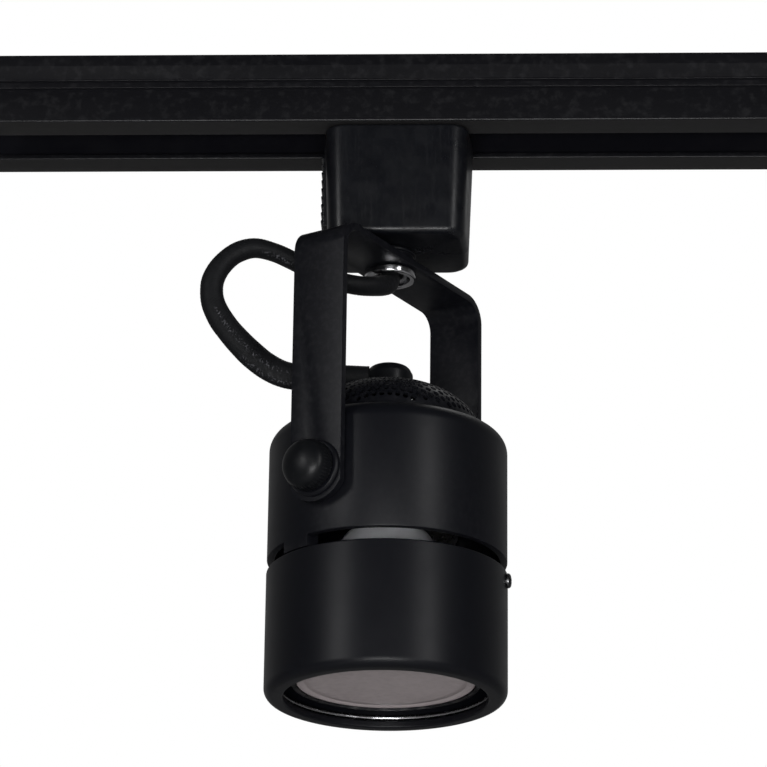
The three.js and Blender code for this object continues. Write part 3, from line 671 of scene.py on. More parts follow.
def power_cord():
    path = spline(route_in_frame(), 0.4 * MM)
    step = (path[1] - path[0]).length
    heights, glints = [], []

    def section(i, share):
        width, depth = cord_section(share)
        points = []
        for k in range(BRAID_SIDES):
            angle = TAU * k / BRAID_SIDES
            height = braid_height(angle, i * step)
            heights.append(height)
            glints.append(painted_glint(angle, share))
            rise = (height - 0.75) * BRAID_RISE
            x = (depth * MM / 2 + rise) * math.cos(angle)
            y = (width * MM / 2 + rise) * math.sin(angle)
            points.append((x, y))
        return points

    sleeve = swept("cord_sleeve", path, section, facing=LOOP_TURN @ Vector((0, 1, 0)))
    for name, values in (("strand", heights), ("painted_glint", glints)):
        layer = sleeve.data.attributes.new(name, "FLOAT", "POINT")
        layer.data.foreach_set("value", values[:len(sleeve.data.vertices)])
    dress(sleeve, BRAID, 80)
    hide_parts("power_cord")
    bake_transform(sleeve)


power_cord()


# ---- track --------------------------------------------------------------------------------------

TRACK_HALF = high("track_rail").x / MM
TRACK_HEIGHT = -low("track_rail").z / MM
TRACK_HALF_WIDTH = high("track_rail").y / MM
SLOT_HALF = 7.9
LIP_DEPTH = 3.4           # the full-width lip along the top of each side
SLOPE_END = 7.1           # below the lip the side slopes in to here
SIDE_INSET = 0.7
WALL = 1.7
FLANGE = 1.6
FIXING_HOLE = 2.25        # radius of the holes for the ceiling screws
FIXING_X = 90


def track_side_profile():
    """The outside of the +Y wall, from the slot round to the top, as (y, z, radius) in mm."""
    outer = TRACK_HALF_WIDTH
    face = outer - SIDE_INSET
    bottom = -TRACK_HEIGHT
    points = [(SLOT_HALF, bottom, 0.35), (face, bottom, 0.55)]
    for z in (-10.1, -7.9):
        points += [(face, z - 0.35, 0.12), (face - 0.45, z - 0.12),
                   (face - 0.45, z + 0.12), (face, z + 0.35, 0.12)]
    return points + [(face, -SLOPE_END, 0.3), (outer, -LIP_DEPTH, 0.3), (outer, 0, 0.5)]


def track_rail():
    inner = TRACK_HALF_WIDTH - WALL
    bottom = -TRACK_HEIGHT
    inside = [(SLOT_HALF, bottom + FLANGE, 0.35), (inner, bottom + FLANGE, 0.3), (inner, -1.8, 0.4)]
    right = inside[::-1] + track_side_profile()
    left = [(-p[0], *p[1:]) for p in right][::-1]
    outline = rounded(right + left, 4)
    rail = upright_along_x(extruded("rail", outline, -TRACK_HALF, TRACK_HALF))
    holes = [moved(rod("hole", FIXING_HOLE, -5, 1, 32), Matrix.Translation((end * FIXING_X * MM, 0, 0)))
             for end in (-1, 1)]
    boolean(rail, "DIFFERENCE", *holes)
    fit(rail, "track", "track_paint", TRACK_PAINT, "track_rail", degrees=25)
    lowest = -TRACK_HEIGHT * MM * 0.98
    # The flat downward faces at the bottom get the lighter underside paint: painted light from below.
    second_material(rail, UNDERSIDE_PAINTED_LIGHT, lambda face: face.normal.z < -0.9 and face.center.z < lowest)


def track():
    track_rail()
    for side in ("near", "far"):
        keep(f"track_liner_{side}", LINER)
        keep(f"track_conductor_{side}", COPPER)


track()


# ---- adapter ------------------------------------------------------------------------------------

ADAPTER_HEIGHT = (ADAPTER_TOP - ADAPTER_BOTTOM) / MM
ADAPTER_DRAFT = 0.055
ADAPTER_OFFSET = 1.8      # the body stands this far to the right of the swivel
PLAN_WIDE = 20.5
PLAN_END = {-1: 19.3, 1: 20.4}                                # half widths at the front and the rear
PLAN_DEPTH = 15.9
TAB_Z = (-46.0, -22.6)
TAB_HALF = 4.6
TAB_FACE, TAB_BACK, RIB_FACE = -18.5, -15.8, -19.15
RIB_PITCH = 2.4
TONGUE = (-15.6, -12.2)
SHELL_SCREW_X = 16.3
SHELL_SCREW_HEIGHTS = (-27.0, -46.0)
SHELL_WALL = 2.0
NECK_HOLE, NIPPLE_HOLE = 8, 5.3
POST_RADIUS, POST_STOP = 3.0, 2.3                             # a post stops this short of the shell's face
SHANK_RADIUS, SHANK_END = 1.8, -11.3
SCREW_HEAD_RADIUS, SCREW_SEAT = 2.9, 14.0


def adapter_plan(inset, corner, parting, end_half_width):
    """Half of the adapter's plan in mm, from the parting plane out to one end, with round corners."""
    wide, end, depth = PLAN_WIDE - inset, end_half_width - inset, PLAN_DEPTH - inset
    return rounded([(wide, parting), (end, depth, corner), (-end, depth, corner), (-wide, parting)], 10)


def stacked(name, levels):
    """A solid through outlines of the same count at rising heights: levels are (z, outline) in mm."""
    count = len(levels[0][1])
    verts = [Vector((x, y, z)) * MM for z, outline in levels for x, y in outline]
    faces = [list(range(count))[::-1], list(range(len(verts) - count, len(verts)))]
    for i in range(len(levels) - 1):
        a, b = i * count, (i + 1) * count
        faces += [[a + k, a + (k + 1) % count, b + (k + 1) % count, b + k] for k in range(count)]
    return new_object(name, verts, faces)


def shrunk(outline, z):
    share = 1 - ADAPTER_DRAFT * (ADAPTER_TOP / MM - z) / ADAPTER_HEIGHT
    return [(x * share, y * share) for x, y in outline]


def half_shell(name, side, levels, corner, parting):
    """A solid through levels of (z, inset), narrowed downwards, facing the front (-1) or the rear (1)."""
    outlines = [(z, shrunk(adapter_plan(inset, corner, parting, PLAN_END[side]), z)) for z, inset in levels]
    facing = Matrix.Rotation(math.pi if side < 0 else 0, 4, "Z")
    return moved(stacked(name, outlines), Matrix.Translation((ADAPTER_OFFSET * MM, 0, 0)) @ facing)


def rounded_levels(bottom, top, bottom_radius, top_radius, steps=6):
    """Levels that round a body's bottom and top edges."""
    turns = [math.pi / 2 * k / steps for k in range(steps + 1)]
    below = [(bottom + bottom_radius * (1 - math.cos(a)), bottom_radius * (1 - math.sin(a))) for a in turns]
    above = [(top - top_radius * (1 - math.sin(a)), top_radius * (1 - math.cos(a))) for a in turns]
    return below + above


def along_y(thing, z):
    """Lays a piece turned about Z along Y, on the axis of the shells' screw at a height."""
    place = Matrix.Translation((SHELL_SCREW_X * MM, 0, z * MM))
    return moved(thing, place @ Matrix.Rotation(-math.pi / 2, 4, "X"))


def adapter_shell(side):
    label = "front" if side < 0 else "rear"
    top, bottom = ADAPTER_TOP / MM, ADAPTER_BOTTOM / MM
    shell = half_shell(f"adapter_{label}", side, rounded_levels(bottom, top, 1.8, 0.9), 5.2, 0.1)
    hollow = [(bottom + SHELL_WALL, SHELL_WALL), (top - SHELL_WALL, SHELL_WALL)]
    room = half_shell("room", side, hollow, 2.8, -2)
    neck = rod("neck", NECK_HOLE, top - 4, top + 2, 64)
    nipple = rod("bore", NIPPLE_HOLE, bottom - 2, bottom + 4, 64)
    tab = block("tab", -24, TONGUE[0] + 0.8, -TAB_HALF - 0.3, TAB_HALF + 0.3, TAB_Z[0] - 3.9, TAB_Z[1] + 0.4)
    latch = block("latch", TONGUE[0] - 0.4, TONGUE[1] + 0.4, -5.6, 5.6, top - 4, top + 2)
    reach = PLAN_DEPTH - POST_STOP
    posts = []
    holes = []
    for z in SHELL_SCREW_HEIGHTS:
        near, far = sorted((side * 0.15, side * reach))
        posts.append(along_y(rod("post", POST_RADIUS, near, far, 48), z))
        shank = [(0, SHANK_END), (SHANK_RADIUS, SHANK_END), (SHANK_RADIUS, SCREW_SEAT),
                 (SCREW_HEAD_RADIUS, SCREW_SEAT), (SCREW_HEAD_RADIUS, 30), (0, 30)]
        holes.append(along_y(turned("hole", shank, 48), z))
    boolean(shell, "DIFFERENCE", room)
    boolean(shell, "UNION", *posts)
    boolean(shell, "DIFFERENCE", neck, nipple, tab, latch, *holes)
    fit(shell, "adapter", "adapter_plastic", PLASTIC, f"adapter_{label}_shell", degrees=28)


def release_tab():
    z0, z1 = TAB_Z
    body = block("tab_pad", TAB_FACE, TAB_BACK, -TAB_HALF, TAB_HALF, z0, z1)
    stem = block("stem", TAB_BACK - 0.2, TONGUE[1], -TAB_HALF, TAB_HALF, z0 + 6, z1)
    tongue = block("tongue", *TONGUE, -5.2, 5.2, z1 - 1, -17.8)
    boolean(body, "UNION", stem, tongue)
    bevelled(body, 0.35 * MM, 3)
    ribs = []
    z = z0 + 1
    while z < z1 - 1.1:
        outline = rounded([(RIB_FACE, z + 0.2, 0.3), (TAB_FACE + 0.2, z - 0.1), (TAB_FACE + 0.2, z + 1.2),
                           (RIB_FACE, z + 0.9, 0.3)], 4)
        ribs.append(upright_along_y(extruded("rib", outline, -TAB_HALF + 0.4, TAB_HALF - 0.4)))
        z += RIB_PITCH
    boolean(body, "UNION", *ribs)
    fit(body, "tab", "adapter_plastic", PLASTIC, "release_tab")


def swivel_boss():
    top = high("swivel_boss").z / MM
    bottom = low("swivel_boss").z / MM
    profile = rounded([(NIPPLE_HOLE, bottom, 0.2), (NIPPLE_HOLE, top, 0.2),
                       (6.9, top, 0.4), (6.9, top - 0.9, 0.4),
                       (6.3, top - 1.1, 0.2), (6.3, bottom, 0.7)])
    fit(turned("boss", profile), "adapter", "adapter_plastic", PLASTIC, "swivel_boss")


def threaded(name, outer, inner, bottom, top, pitch, depth):
    """A hollow tube whose outside carries rings of thread."""
    count = int((top - bottom - 1) / pitch)
    outside = [(outer - 0.5, bottom), (outer - depth, bottom + 0.5)]
    for k in range(count):
        z = bottom + 0.5 + k * pitch
        outside += [(outer, z + pitch * 0.4), (outer, z + pitch * 0.6), (outer - depth, z + pitch)]
    outside += [(outer - 0.5, top)]
    inside = [(inner + 0.4, top), (inner, top - 0.4), (inner, bottom + 0.4)]
    return turned(name, [(inner + 0.4, bottom), *outside, *inside], 96)


def swivel_nipple():
    lower, upper = low("swivel_nipple").z / MM, high("swivel_nipple").z / MM
    nipple = threaded("nipple", 4.95, 3.7, lower, upper, 1.0, 0.5)
    fit(nipple, "adapter", "zinc_steel", STEEL, "swivel_nipple")


def release_spring():
    centre = middle("release_spring")
    bottom, top = low("release_spring").z + 0.45 * MM, high("release_spring").z - 0.45 * MM
    turns, per_turn = 4, 40
    points = []
    for i in range(turns * per_turn + 1):
        angle = TAU * i / per_turn
        share = i / (turns * per_turn)
        x, y = centre.x + 2 * MM * math.cos(angle), 2 * MM * math.sin(angle)
        points.append(Vector((x, y, bottom + (top - bottom) * share)))
    circle = arc(0, 0, 0.42 * MM, 0, 330, 11)
    spring = swept("tab_spring", points, lambda i, share: circle)
    dress(spring, STEEL, 50)
    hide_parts("release_spring")
    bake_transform(spring)


def adapter():
    for side in (-1, 1):
        adapter_shell(side)
    release_tab()
    release_spring()
    swivel_boss()
    swivel_nipple()
    for node in ("adapter_neck", "contact_cap"):
        keep(node, PLASTIC)
    for node in ("contact_blade_near", "contact_blade_far", "earth_contact"):
        keep(node, COPPER)
    for node in ("nipple_locknut", "shell_screw_upper", "shell_screw_lower"):
        keep(node, STEEL)


adapter()


# ---- yoke ---------------------------------------------------------------------------------------

SPAN = 35.5               # from the axis to each arm's outer face
STRIP = 2.0
STRIP_WIDTH = 15.6
BEND = 7.0
STUD_HOLE = 2.3           # radius of the hole for a pivot stud
ARM_END = 8.8             # radius of the arm's round end, about the pivot


def yoke_bracket():
    top = STRAP_TOP / MM
    pivot = PIVOT.z / MM
    inner = SPAN - STRIP
    split = pivot - ARM_END
    outer_bend = arc(SPAN - BEND, top - BEND, BEND, 0, 90, 18)
    inner_bend = arc(SPAN - BEND, top - BEND, BEND - STRIP, 90, 0, 18)

    def mirrored(points):
        return [(-x, z) for x, z in points][::-1]

    outline = [(SPAN, split), *outer_bend, *mirrored(outer_bend), (-SPAN, split),
               (-inner, split), *mirrored(inner_bend), *inner_bend, (inner, split)]
    strap = upright_along_y(extruded("bracket", outline, -STRIP_WIDTH / 2, STRIP_WIDTH / 2))
    edge = STRIP_WIDTH / 2
    drop = math.degrees(math.acos(edge / ARM_END))
    plan = [(edge, top + 5), (-edge, top + 5), *arc(0, pivot, ARM_END, 180 + drop, 360 - drop, 24)]
    trim = upright_along_x(extruded("trim", plan, -50, 50))
    boolean(strap, "INTERSECT", trim)
    hole = rod("hole", NIPPLE_HOLE, top - 5, top + 5, 64)
    pins = rod("pins", STUD_HOLE, -50, 50, 48)
    moved(pins, Matrix.Translation((0, 0, PIVOT.z)) @ Matrix.Rotation(math.pi / 2, 4, "Y"))
    boolean(strap, "DIFFERENCE", hole, pins)
    bevelled(strap, 0.4 * MM, 3, 40)
    moved(strap, YOKE_TURN)
    fit(strap, "yoke", "black_coat", COAT, "yoke_bracket")


def ring_nut():
    top, bottom = high("ring_nut").z / MM, low("ring_nut").z / MM
    profile = rounded([(5.25, bottom, 0.55), (5.25, top, 0.2), (7.05, top, 0.3), (7.05, bottom, 0.75)], 8)
    fit(turned("swivel_ring", profile), "yoke", "chrome", CHROME, "ring_nut")


def knob_washer(side, label):
    inner = SPAN + 0.3
    profile = rounded([(STUD_HOLE, inner, 0.1), (STUD_HOLE, inner + 1.1, 0.1), (7.2, inner + 1.1, 0.5),
                       (7.65, inner + 0.4, 0.3), (7.65, inner, 0.1)], 4)
    disc = outer_turned(turned(f"knob_disc_{label}", profile, 96), side)
    fit(disc, "yoke", "black_coat", COAT, f"knob_washer_{label}")


def knob(side, label):
    """A thumb knob with a knurled rim and a domed crown."""
    inner = SPAN + 1.7
    rim_end, top = inner + 3.4, inner + 7
    radius, teeth = 6.8, 44
    crown = arc(0, 0, 1, 8, 90, 14)
    profile = [(STUD_HOLE, inner), (radius - 0.6, inner),
               (radius - 0.15, inner + 0.25), (radius, inner + 0.7),
               (radius, rim_end - 0.8), (radius - 0.1, rim_end - 0.4), (radius - 0.35, rim_end)]
    profile += [((radius - 0.45) * x, rim_end + (top - rim_end) * y) for x, y in crown]
    profile[-1] = (0, top)
    profile += [(0, inner + 3.3), (STUD_HOLE, inner + 3.3)]

    def ripple(angle, r, z):
        on_rim = r > radius - 0.5 and inner + 0.5 < z < rim_end - 0.3
        return r - 0.22 * (0.5 + 0.5 * math.cos(teeth * angle)) if on_rim else r

    thing = outer_turned(turned(f"knob_{label}", profile, teeth * 8, ripple), side)
    fit(thing, f"knob_{label}", "knob_plastic", KNOB_PLASTIC, f"thumb_knob_{label}", degrees=45)


def yoke():
    yoke_bracket()
    ring_nut()
    for label, side in (("near", -1), ("far", 1)):
        knob_washer(side, label)
        knob(side, label)
        keep(f"friction_washer_{label}", NYLON)
        keep(f"pivot_stud_{label}", STEEL)


yoke()


# ---- head ---------------------------------------------------------------------------------------

HOUSING_RADIUS = 31.9
HOUSING_WALL = 2.0
SHOULDER = 5.0
MOUTH = 24.2
SHADE_RADIUS = 32.0
LIP_RADIUS = 26.9
BRIDGE_ANGLE = NEAR_ARM_ANGLE - math.radians(16.8)
BRIDGE_WIDTH = 17.0
SCREW_ANGLES = {"right": NEAR_ARM_ANGLE + math.radians(113), "rear": NEAR_ARM_ANGLE + math.radians(228)}
SHADE_SCREW_Z = SHADE_TOP - 2.6 * MM


def ring_wedge(outer, inner, bottom, top, centre, width):
    outline = arc(0, 0, outer, -width / 2, width / 2, 8) + arc(0, 0, inner, width / 2, -width / 2, 8)
    return moved(extruded("wedge", outline, bottom, top), Matrix.Rotation(centre, 4, "Z"))


def cross_hole(radius, z, angle, start=-50):
    hole = rod("hole", radius, start, 50, 32)
    facing = Matrix.Rotation(angle, 4, "Z") @ Matrix.Rotation(math.pi / 2, 4, "Y")
    return moved(hole, Matrix.Translation((0, 0, z)) @ facing)


def screw_holes():
    return [cross_hole(1.5, SHADE_SCREW_Z, angle, 20) for angle in SCREW_ANGLES.values()]


def rear_housing():
    top, slot, shade = HEAD_TOP / MM, SLOT_TOP / MM, SHADE_TOP / MM
    inner = HOUSING_RADIUS - HOUSING_WALL
    centre = (HOUSING_RADIUS - SHOULDER, top - SHOULDER)
    profile = [(MOUTH, top - 0.3), (MOUTH + 0.3, top), *arc(*centre, SHOULDER, 90, 0, 16),
               (HOUSING_RADIUS, slot + 0.35), (HOUSING_RADIUS - 0.1, slot + 0.1),
               (HOUSING_RADIUS - 0.35, slot),
               (inner + 0.2, slot), (inner, slot + 0.2), *arc(*centre, SHOULDER - HOUSING_WALL, 0, 90, 8),
               (MOUTH, top - HOUSING_WALL)]
    shell = turned("housing", profile, 192)
    collar = [(29.6, shade - 5.9), (29.6, shade - 0.3), (27.6, shade - 0.3), (27.6, shade - 5.9)]
    coupling = turned("coupling", collar, 192)
    wedges = []
    for opposite in (0, math.pi):
        centre_angle = BRIDGE_ANGLE + opposite
        for outer, hollow, start, end in ((HOUSING_RADIUS - 0.02, 27.6, shade + 0.3, slot + 1),
                                          (29.58, 27.62, shade - 1.3, shade + 1)):
            wedges.append(ring_wedge(outer, hollow, start, end, centre_angle, BRIDGE_WIDTH))
    boolean(shell, "UNION", coupling, *wedges)
    boolean(shell, "DIFFERENCE", cross_hole(STUD_HOLE, PIVOT.z, YOKE_YAW), *screw_holes())
    fit(shell, "head", "black_coat", COAT, "rear_housing", degrees=28)


def front_shade():
    top, bottom = SHADE_TOP / MM, SHADE_BOTTOM / MM
    inner = SHADE_RADIUS - 2
    profile = rounded([
        (SHADE_RADIUS, top, 0.45), (SHADE_RADIUS, bottom, 2.6),
        (LIP_RADIUS, bottom, 0.55), (LIP_RADIUS, bottom + 2, 0.4),
        (inner, bottom + 2, 0.3), (inner, top, 0.3),
    ], 10)
    shell = turned("shade", profile, 192)
    boolean(shell, "DIFFERENCE", *screw_holes())
    fit(shell, "head", "black_coat", COAT, "front_shade", degrees=28)


def shade_screw(label, angle):
    """A small pan-head screw with a slot."""
    head = SHADE_RADIUS + 0.15
    profile = [(0, 26.6), (1.0, 26.6), (1.2, 26.9), (1.2, head), (1.95, head), (2.0, head + 0.2),
               (1.9, head + 0.6), (1.5, head + 0.9), (0.8, head + 1.05), (0, head + 1.1)]
    screw = turned("screw", profile, 48)
    slot = block("slot", -0.22, 0.22, -3, 3, head + 0.65, head + 3)
    boolean(screw, "DIFFERENCE", slot)
    place = Matrix.Translation((0, 0, SHADE_SCREW_Z)) @ Matrix.Rotation(angle, 4, "Z")
    moved(screw, place @ Matrix.Rotation(math.pi / 2, 4, "Y"))
    screw.name = f"trim_screw_{label}"
    fit(screw, "head", "zinc_steel", DARK_STEEL, f"shade_screw_{label}")


DARK_STEEL = metal("blackened steel", (0.055, 0.055, 0.06), 0.35)
DOME_RADIUS = 24.0
DOME_HEIGHT = 14.0
DOME_WALL = 0.9
HOLE_RADIUS = 0.88
HOLE_PITCH = 2.35
HOLE_SIDES = 12
HEX_ROW = 0.866           # the distance between rows of holes, in pitches
CELL = 3                  # the side of the squares by which holes are looked up, in mm


def dome_point(reach, angle):
    """A point on the dome: reach is how far it lies from the crown along the surface, in mm."""
    steep = dome_angle(reach)
    r = DOME_RADIUS * math.cos(steep)
    return Vector((r * math.cos(angle), r * math.sin(angle), HEAD_TOP / MM + DOME_HEIGHT * math.sin(steep)))


def dome_table(count=400):
    """The length along the dome's profile from the crown, at even steps of its angle."""
    lengths = [0.0]
    for i in range(count):
        a = math.pi / 2 * (1 - i / count)
        b = math.pi / 2 * (1 - (i + 1) / count)
        across = DOME_RADIUS * (math.cos(b) - math.cos(a))
        up = DOME_HEIGHT * (math.sin(b) - math.sin(a))
        lengths.append(lengths[-1] + math.hypot(across, up))
    return lengths


DOME_LENGTHS = dome_table()


def dome_angle(reach):
    """How steep the dome's radius stands at a length from the crown: pi/2 at the crown, 0 at the rim."""
    last = len(DOME_LENGTHS) - 1
    i = min(bisect_right(DOME_LENGTHS, reach) - 1, last - 1)
    share = (reach - DOME_LENGTHS[i]) / (DOME_LENGTHS[i + 1] - DOME_LENGTHS[i])
    return math.pi / 2 * (1 - (i + min(share, 1)) / last)


def vent_dome():
    """A dome pressed from perforated sheet, its holes in a hexagonal pattern, with a plain rim."""
    full = DOME_LENGTHS[-1]
    inner_ring, outer_ring = 5.0, full
    points, edges = [], []

    def circle(cx, cy, radius, sides):
        first = len(points)
        turns = [TAU * k / sides for k in range(sides)]
        points.extend(Vector((cx + radius * math.cos(a), cy + radius * math.sin(a))) for a in turns)
        edges.extend((first + k, first + (k + 1) % sides) for k in range(sides))

    circle(0, 0, inner_ring, 48)
    circle(0, 0, outer_ring, 144)
    circle(0, 0, outer_ring - 1.2, 144)
    holes = []
    rows = int(outer_ring / (HOLE_PITCH * HEX_ROW)) + 1
    for row in range(-rows, rows + 1):
        for column in range(-rows, rows + 1):
            x = (column + 0.5 * (row % 2)) * HOLE_PITCH
            y = row * HOLE_PITCH * HEX_ROW
            if inner_ring + 2.6 < math.hypot(x, y) < outer_ring - 2.2:
                circle(x, y, HOLE_RADIUS, HOLE_SIDES)
                holes.append(Vector((x, y)))
    mesh = delaunay_2d_cdt(points, edges, [], 0, 1e-6)
    verts, faces = mesh[0], mesh[2]
    kept = []
    grid = {}
    for hole in holes:
        grid.setdefault((round(hole.x / CELL), round(hole.y / CELL)), []).append(hole)
    for face in faces:
        centre = sum((verts[i] for i in face), Vector((0, 0))) / len(face)
        if centre.length < inner_ring * 0.998:
            continue
        cell = (round(centre.x / CELL), round(centre.y / CELL))
        cells = [(cell[0] + dx, cell[1] + dy) for dx in (-1, 0, 1) for dy in (-1, 0, 1)]
        near = [hole for key in cells for hole in grid.get(key, ())]
        if all((centre - h).length > HOLE_RADIUS * 0.97 for h in near):
            kept.append(list(face))
    placed = [dome_point(min(v.length, full), math.atan2(v.y, v.x)) * MM for v in verts]
    sheet = new_object("vent_cap", placed, kept)
    drop_loose(sheet)
    extend_rim(sheet)
    solidify = sheet.modifiers.new("thickness", "SOLIDIFY")
    solidify.thickness = DOME_WALL * MM
    solidify.offset = -1
    apply_modifiers(sheet)
    tidy_mesh(sheet.data)
    fit(sheet, "head", "black_coat", COAT, "vent_dome", degrees=50)


def drop_loose(thing):
    bm = bmesh.new()
    bm.from_mesh(thing.data)
    bmesh.ops.delete(bm, geom=[v for v in bm.verts if not v.link_faces], context="VERTS")
    bm.to_mesh(thing.data)
    bm.free()


def extend_rim(thing):
    """Carries the dome's lower edge straight down through the housing and out into its flange."""
    bm = bmesh.new()
    bm.from_mesh(thing.data)
    lowest = min(v.co.z for v in bm.verts)
    edge = [e for e in bm.edges if e.is_boundary and all(v.co.z < lowest + 1e-5 for v in e.verts)]
    for drop, reach in ((HOUSING_WALL + 0.4, 1.0), (0.0, (DOME_RADIUS + 2.2) / DOME_RADIUS)):
        made = bmesh.ops.extrude_edge_only(bm, edges=edge)["geom"]
        for v in [g for g in made if isinstance(g, bmesh.types.BMVert)]:
            v.co = Vector((v.co.x * reach, v.co.y * reach, v.co.z - drop * MM))
        edge = [g for g in made if isinstance(g, bmesh.types.BMEdge)
                and all(v in made for v in g.verts) and g.is_boundary]
    bmesh.ops.recalc_face_normals(bm, faces=bm.faces)
    bm.to_mesh(thing.data)
    bm.free()


def cord_bushing():
    """A low rounded hood on the dome's crown; the cord goes in at its flat side through a collar."""
    crown = HEAD_TOP / MM + DOME_HEIGHT
    top = crown + 6.3
    profile = rounded([(0, crown - 5), (3.8, crown - 5, 0.3), (3.8, crown + 0.3), (6.4, crown + 0.3, 0.5),
                       (6.4, crown + 4.0, 0.8), (5.2, top, 2.2), (0, top)], 8)
    hood = turned("cord_hood", profile, 128)
    side = block("side", BUSHING_FLAT, 12, -12, 12, crown + 0.05, top + 3)
    boolean(hood, "DIFFERENCE", side)
    bevelled(hood, 0.3 * MM, 3, 50)
    moved(hood, LOOP_TURN)
    fit(hood, "head", "knob_plastic", KNOB_PLASTIC, "cord_bushing", degrees=40)


RING_RADIUS, WIRE_RADIUS = 27.9, 0.62


def snap_ring():
    """A wire spring ring on the shade's lip; its two ends turn in towards the lamp."""
    z = SHADE_BOTTOM / MM + 3.0
    start = NEAR_ARM_ANGLE + math.radians(30)
    points = []
    for i in range(181):
        angle = math.radians(15 + 330 * i / 180)
        x, y = RING_RADIUS * math.cos(angle + start), RING_RADIUS * math.sin(angle + start)
        points.append(Vector((x, y, z)) * MM)
    for sign, end in ((1, points[0]), (-1, points[-1])):
        inward = Vector((-end.x, -end.y, 0)).normalized()
        hook = [end + inward * (0.6 * k) * MM + Vector((0, 0, 0.05 * k)) * MM for k in range(1, 5)]
        points = hook[::-1] + points if sign > 0 else points + hook
    circle = arc(0, 0, WIRE_RADIUS * MM, 0, 330, 11)
    ring = swept("lamp_clip", spline(points, 0.6 * MM), lambda i, share: circle)
    fit(ring, "head", "zinc_steel", BRIGHT_WIRE, "snap_ring", degrees=50)


BRIGHT_WIRE = metal("bright spring wire", (0.55, 0.55, 0.57), 0.18)
LAMP_FACE = low("lamp_lens").z / MM
LAMP_BACK = high("lamp_body").z / MM


def lamp_body():
    """The lamp's shell: a cup with shallow cooling ribs above the rim."""
    front = low("lamp_body").z / MM
    inside = [(0, LAMP_BACK - 2), (9.5, LAMP_BACK - 2.5), (15, front + 29), (18.6, front + 20),
              (22.6, front + 3.4), (23.9, front + 3.4), (23.9, front + 0.2)]
    rim = [(24.1, front), (24.8, front), (25, front + 0.3), (25, front + 4.6), (24.6, front + 5.2)]
    outside = [(23.2, front + 10), (20.5, front + 21), (18.6, front + 26), (17, front + 30),
               (15.6, front + 33.5), (11.7, LAMP_BACK - 1.2), (11.0, LAMP_BACK - 0.3),
               (10.4, LAMP_BACK), (0, LAMP_BACK)]

    def ribs(angle, r, z):
        on_cone = r > 16.5 and front + 5 < z < front + 31 and r > 25.2 - (z - front) * 0.31
        return r - 0.35 * (0.5 + 0.5 * math.cos(36 * angle)) if on_cone else r

    shell = turned("lamp_shell", inside + rim + outside, 288, ribs)
    fit(shell, "head", "lamp_shell", LAMP_GREY, "lamp_body", degrees=40)
    second_material(shell, DARK_STEEL, lambda face: face.center.z < (front + 4) * MM)


def lamp_cover():
    """The lamp's frosted cover: slightly dished, with a shallow ring step."""
    face = LAMP_FACE
    profile = [(0, face + 0.35)]
    profile += [(r, face + 0.35 - 0.35 * (r / 21.5) ** 2) for r in (4, 8, 12, 16, 19, 20.6)]
    profile += [(21.0, face + 0.25), (21.6, face + 0.25), (22.0, face), (23.3, face), (23.6, face + 0.3),
                (23.6, face + 1.6), (0, face + 1.6)]
    fit(turned("lamp_cover", profile, 160), "head", "lamp_glass", COVER, "lamp_lens", degrees=40)


def head():
    rear_housing()
    front_shade()
    for label, angle in SCREW_ANGLES.items():
        shade_screw(label, angle)
    vent_dome()
    cord_bushing()
    snap_ring()
    lamp_body()
    lamp_cover()
    for node in ("lamp_base", "lamp_socket"):
        keep(node, CERAMIC)
    for node in ("socket_bracket", "pivot_insert_near", "pivot_insert_far"):
        keep(node, STEEL)
    for side in ("left", "right"):
        keep(f"lamp_pin_{side}", STEEL)
        keep(f"socket_screw_{side}", STEEL)
        keep(f"lamp_lead_{side}", NYLON)


head()


# ---- floor and light ----------------------------------------------------------------------------

FLOOR_GLOW = 0.6          # emission strength, for camera rays only


def add_floor():
    """A pale floor. Most of its brightness is an emission that only camera rays see."""
    half, height = 4.0, -0.85
    corners = [(x * half, y * half, height) for x, y in ((-1, -1), (1, -1), (1, 1), (-1, 1))]
    floor = new_object("floor", corners, [[0, 1, 2, 3]])
    f = Finish("pale floor", (0.62, 0.62, 0.62), 0.7)
    f.mottle(f.noise(3), 0.4, 0.6, 0.5, (0.58, 0.58, 0.58))
    rays = f.nodes.new("ShaderNodeLightPath")
    f.shader.inputs["Emission Color"].default_value = (1, 1, 1, 1)
    glow = f.math("MULTIPLY", rays.outputs["Is Camera Ray"], FLOOR_GLOW)
    f.links.new(glow, f.shader.inputs["Emission Strength"])
    floor.data.materials.append(f.material)


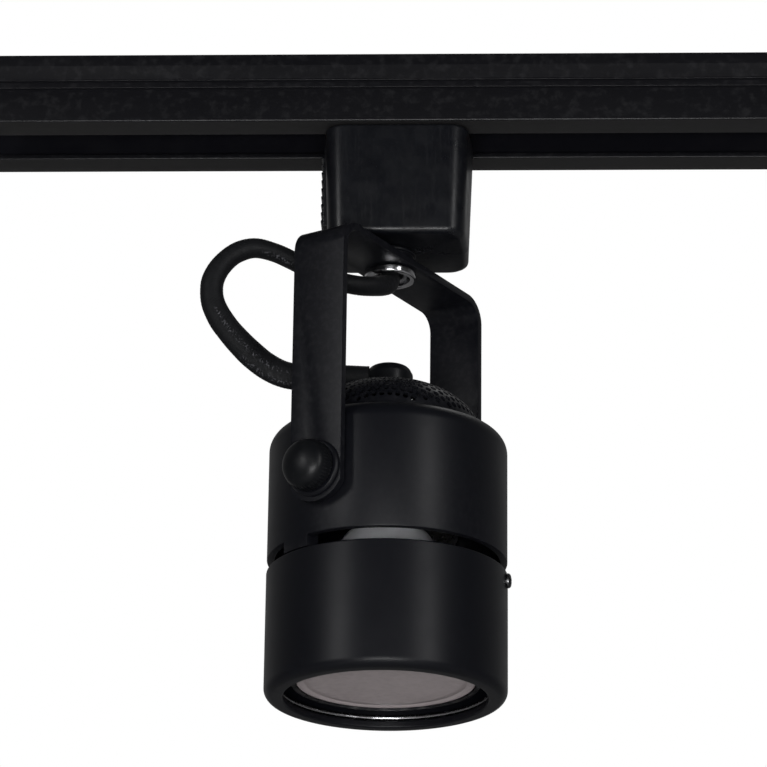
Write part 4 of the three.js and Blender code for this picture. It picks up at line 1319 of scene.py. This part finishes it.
def area_light(name, azimuth, elevation, distance, size, power, height_share=1.0, color=(1, 1, 1)):
    """A softbox that faces the lamp's head. Azimuth is measured from the camera's side, to the right."""
    aim = Vector((0, 0, -0.11))
    a = math.radians(azimuth - 90)
    e = math.radians(elevation)
    place = aim + Vector((math.cos(a) * math.cos(e), math.sin(a) * math.cos(e), math.sin(e))) * distance
    data = bpy.data.lights.new(name, "AREA")
    data.shape = "RECTANGLE"
    data.size = size
    data.size_y = size * height_share
    data.energy = power
    data.color = color
    light = bpy.data.objects.new(name, data)
    facing = (aim - place).to_track_quat("-Z", "Y").to_matrix().to_4x4()
    light.matrix_world = Matrix.Translation(place) @ facing
    bpy.context.scene.collection.objects.link(light)


def add_world():
    """A studio: plain white to camera rays; to all others brighter behind the lamp than in front."""
    world = bpy.data.worlds.new("studio")
    world.use_nodes = True
    bpy.context.scene.world = world
    nodes, links = world.node_tree.nodes, world.node_tree.links
    background = nodes["Background"]
    background.inputs["Color"].default_value = (1, 1, 1, 1)
    direction = nodes.new("ShaderNodeTexCoord")
    split = nodes.new("ShaderNodeSeparateXYZ")
    links.new(direction.outputs["Generated"], split.inputs["Vector"])
    shade = nodes.new("ShaderNodeMapRange")
    for socket, value in (("From Min", -0.2), ("From Max", 0.85), ("To Min", 0.035), ("To Max", 0.24)):
        shade.inputs[socket].default_value = value
    links.new(split.outputs["Y"], shade.inputs["Value"])
    rays = nodes.new("ShaderNodeLightPath")
    seen = nodes.new("ShaderNodeMath")
    seen.operation = "MAXIMUM"
    links.new(shade.outputs["Result"], seen.inputs[0])
    links.new(rays.outputs["Is Camera Ray"], seen.inputs[1])
    links.new(seen.outputs["Value"], background.inputs["Strength"])


def add_lights():
    area_light("right_softbox", 40, 6, 1.5, 0.26, 6.0, 4.0)
    area_light("left_softbox", -42, 10, 1.5, 0.2, 4.5, 3.0)
    area_light("front_low", 0, -23, 1.2, 0.5, 7.5, 0.6)
    area_light("front_band", 0, -3, 1.6, 1.7, 0.9, 0.07)
    area_light("top_back", 160, 60, 1.4, 0.6, 1.5)


add_floor()
add_world()
add_lights()
bpy.context.scene.view_settings.view_transform = "Standard"
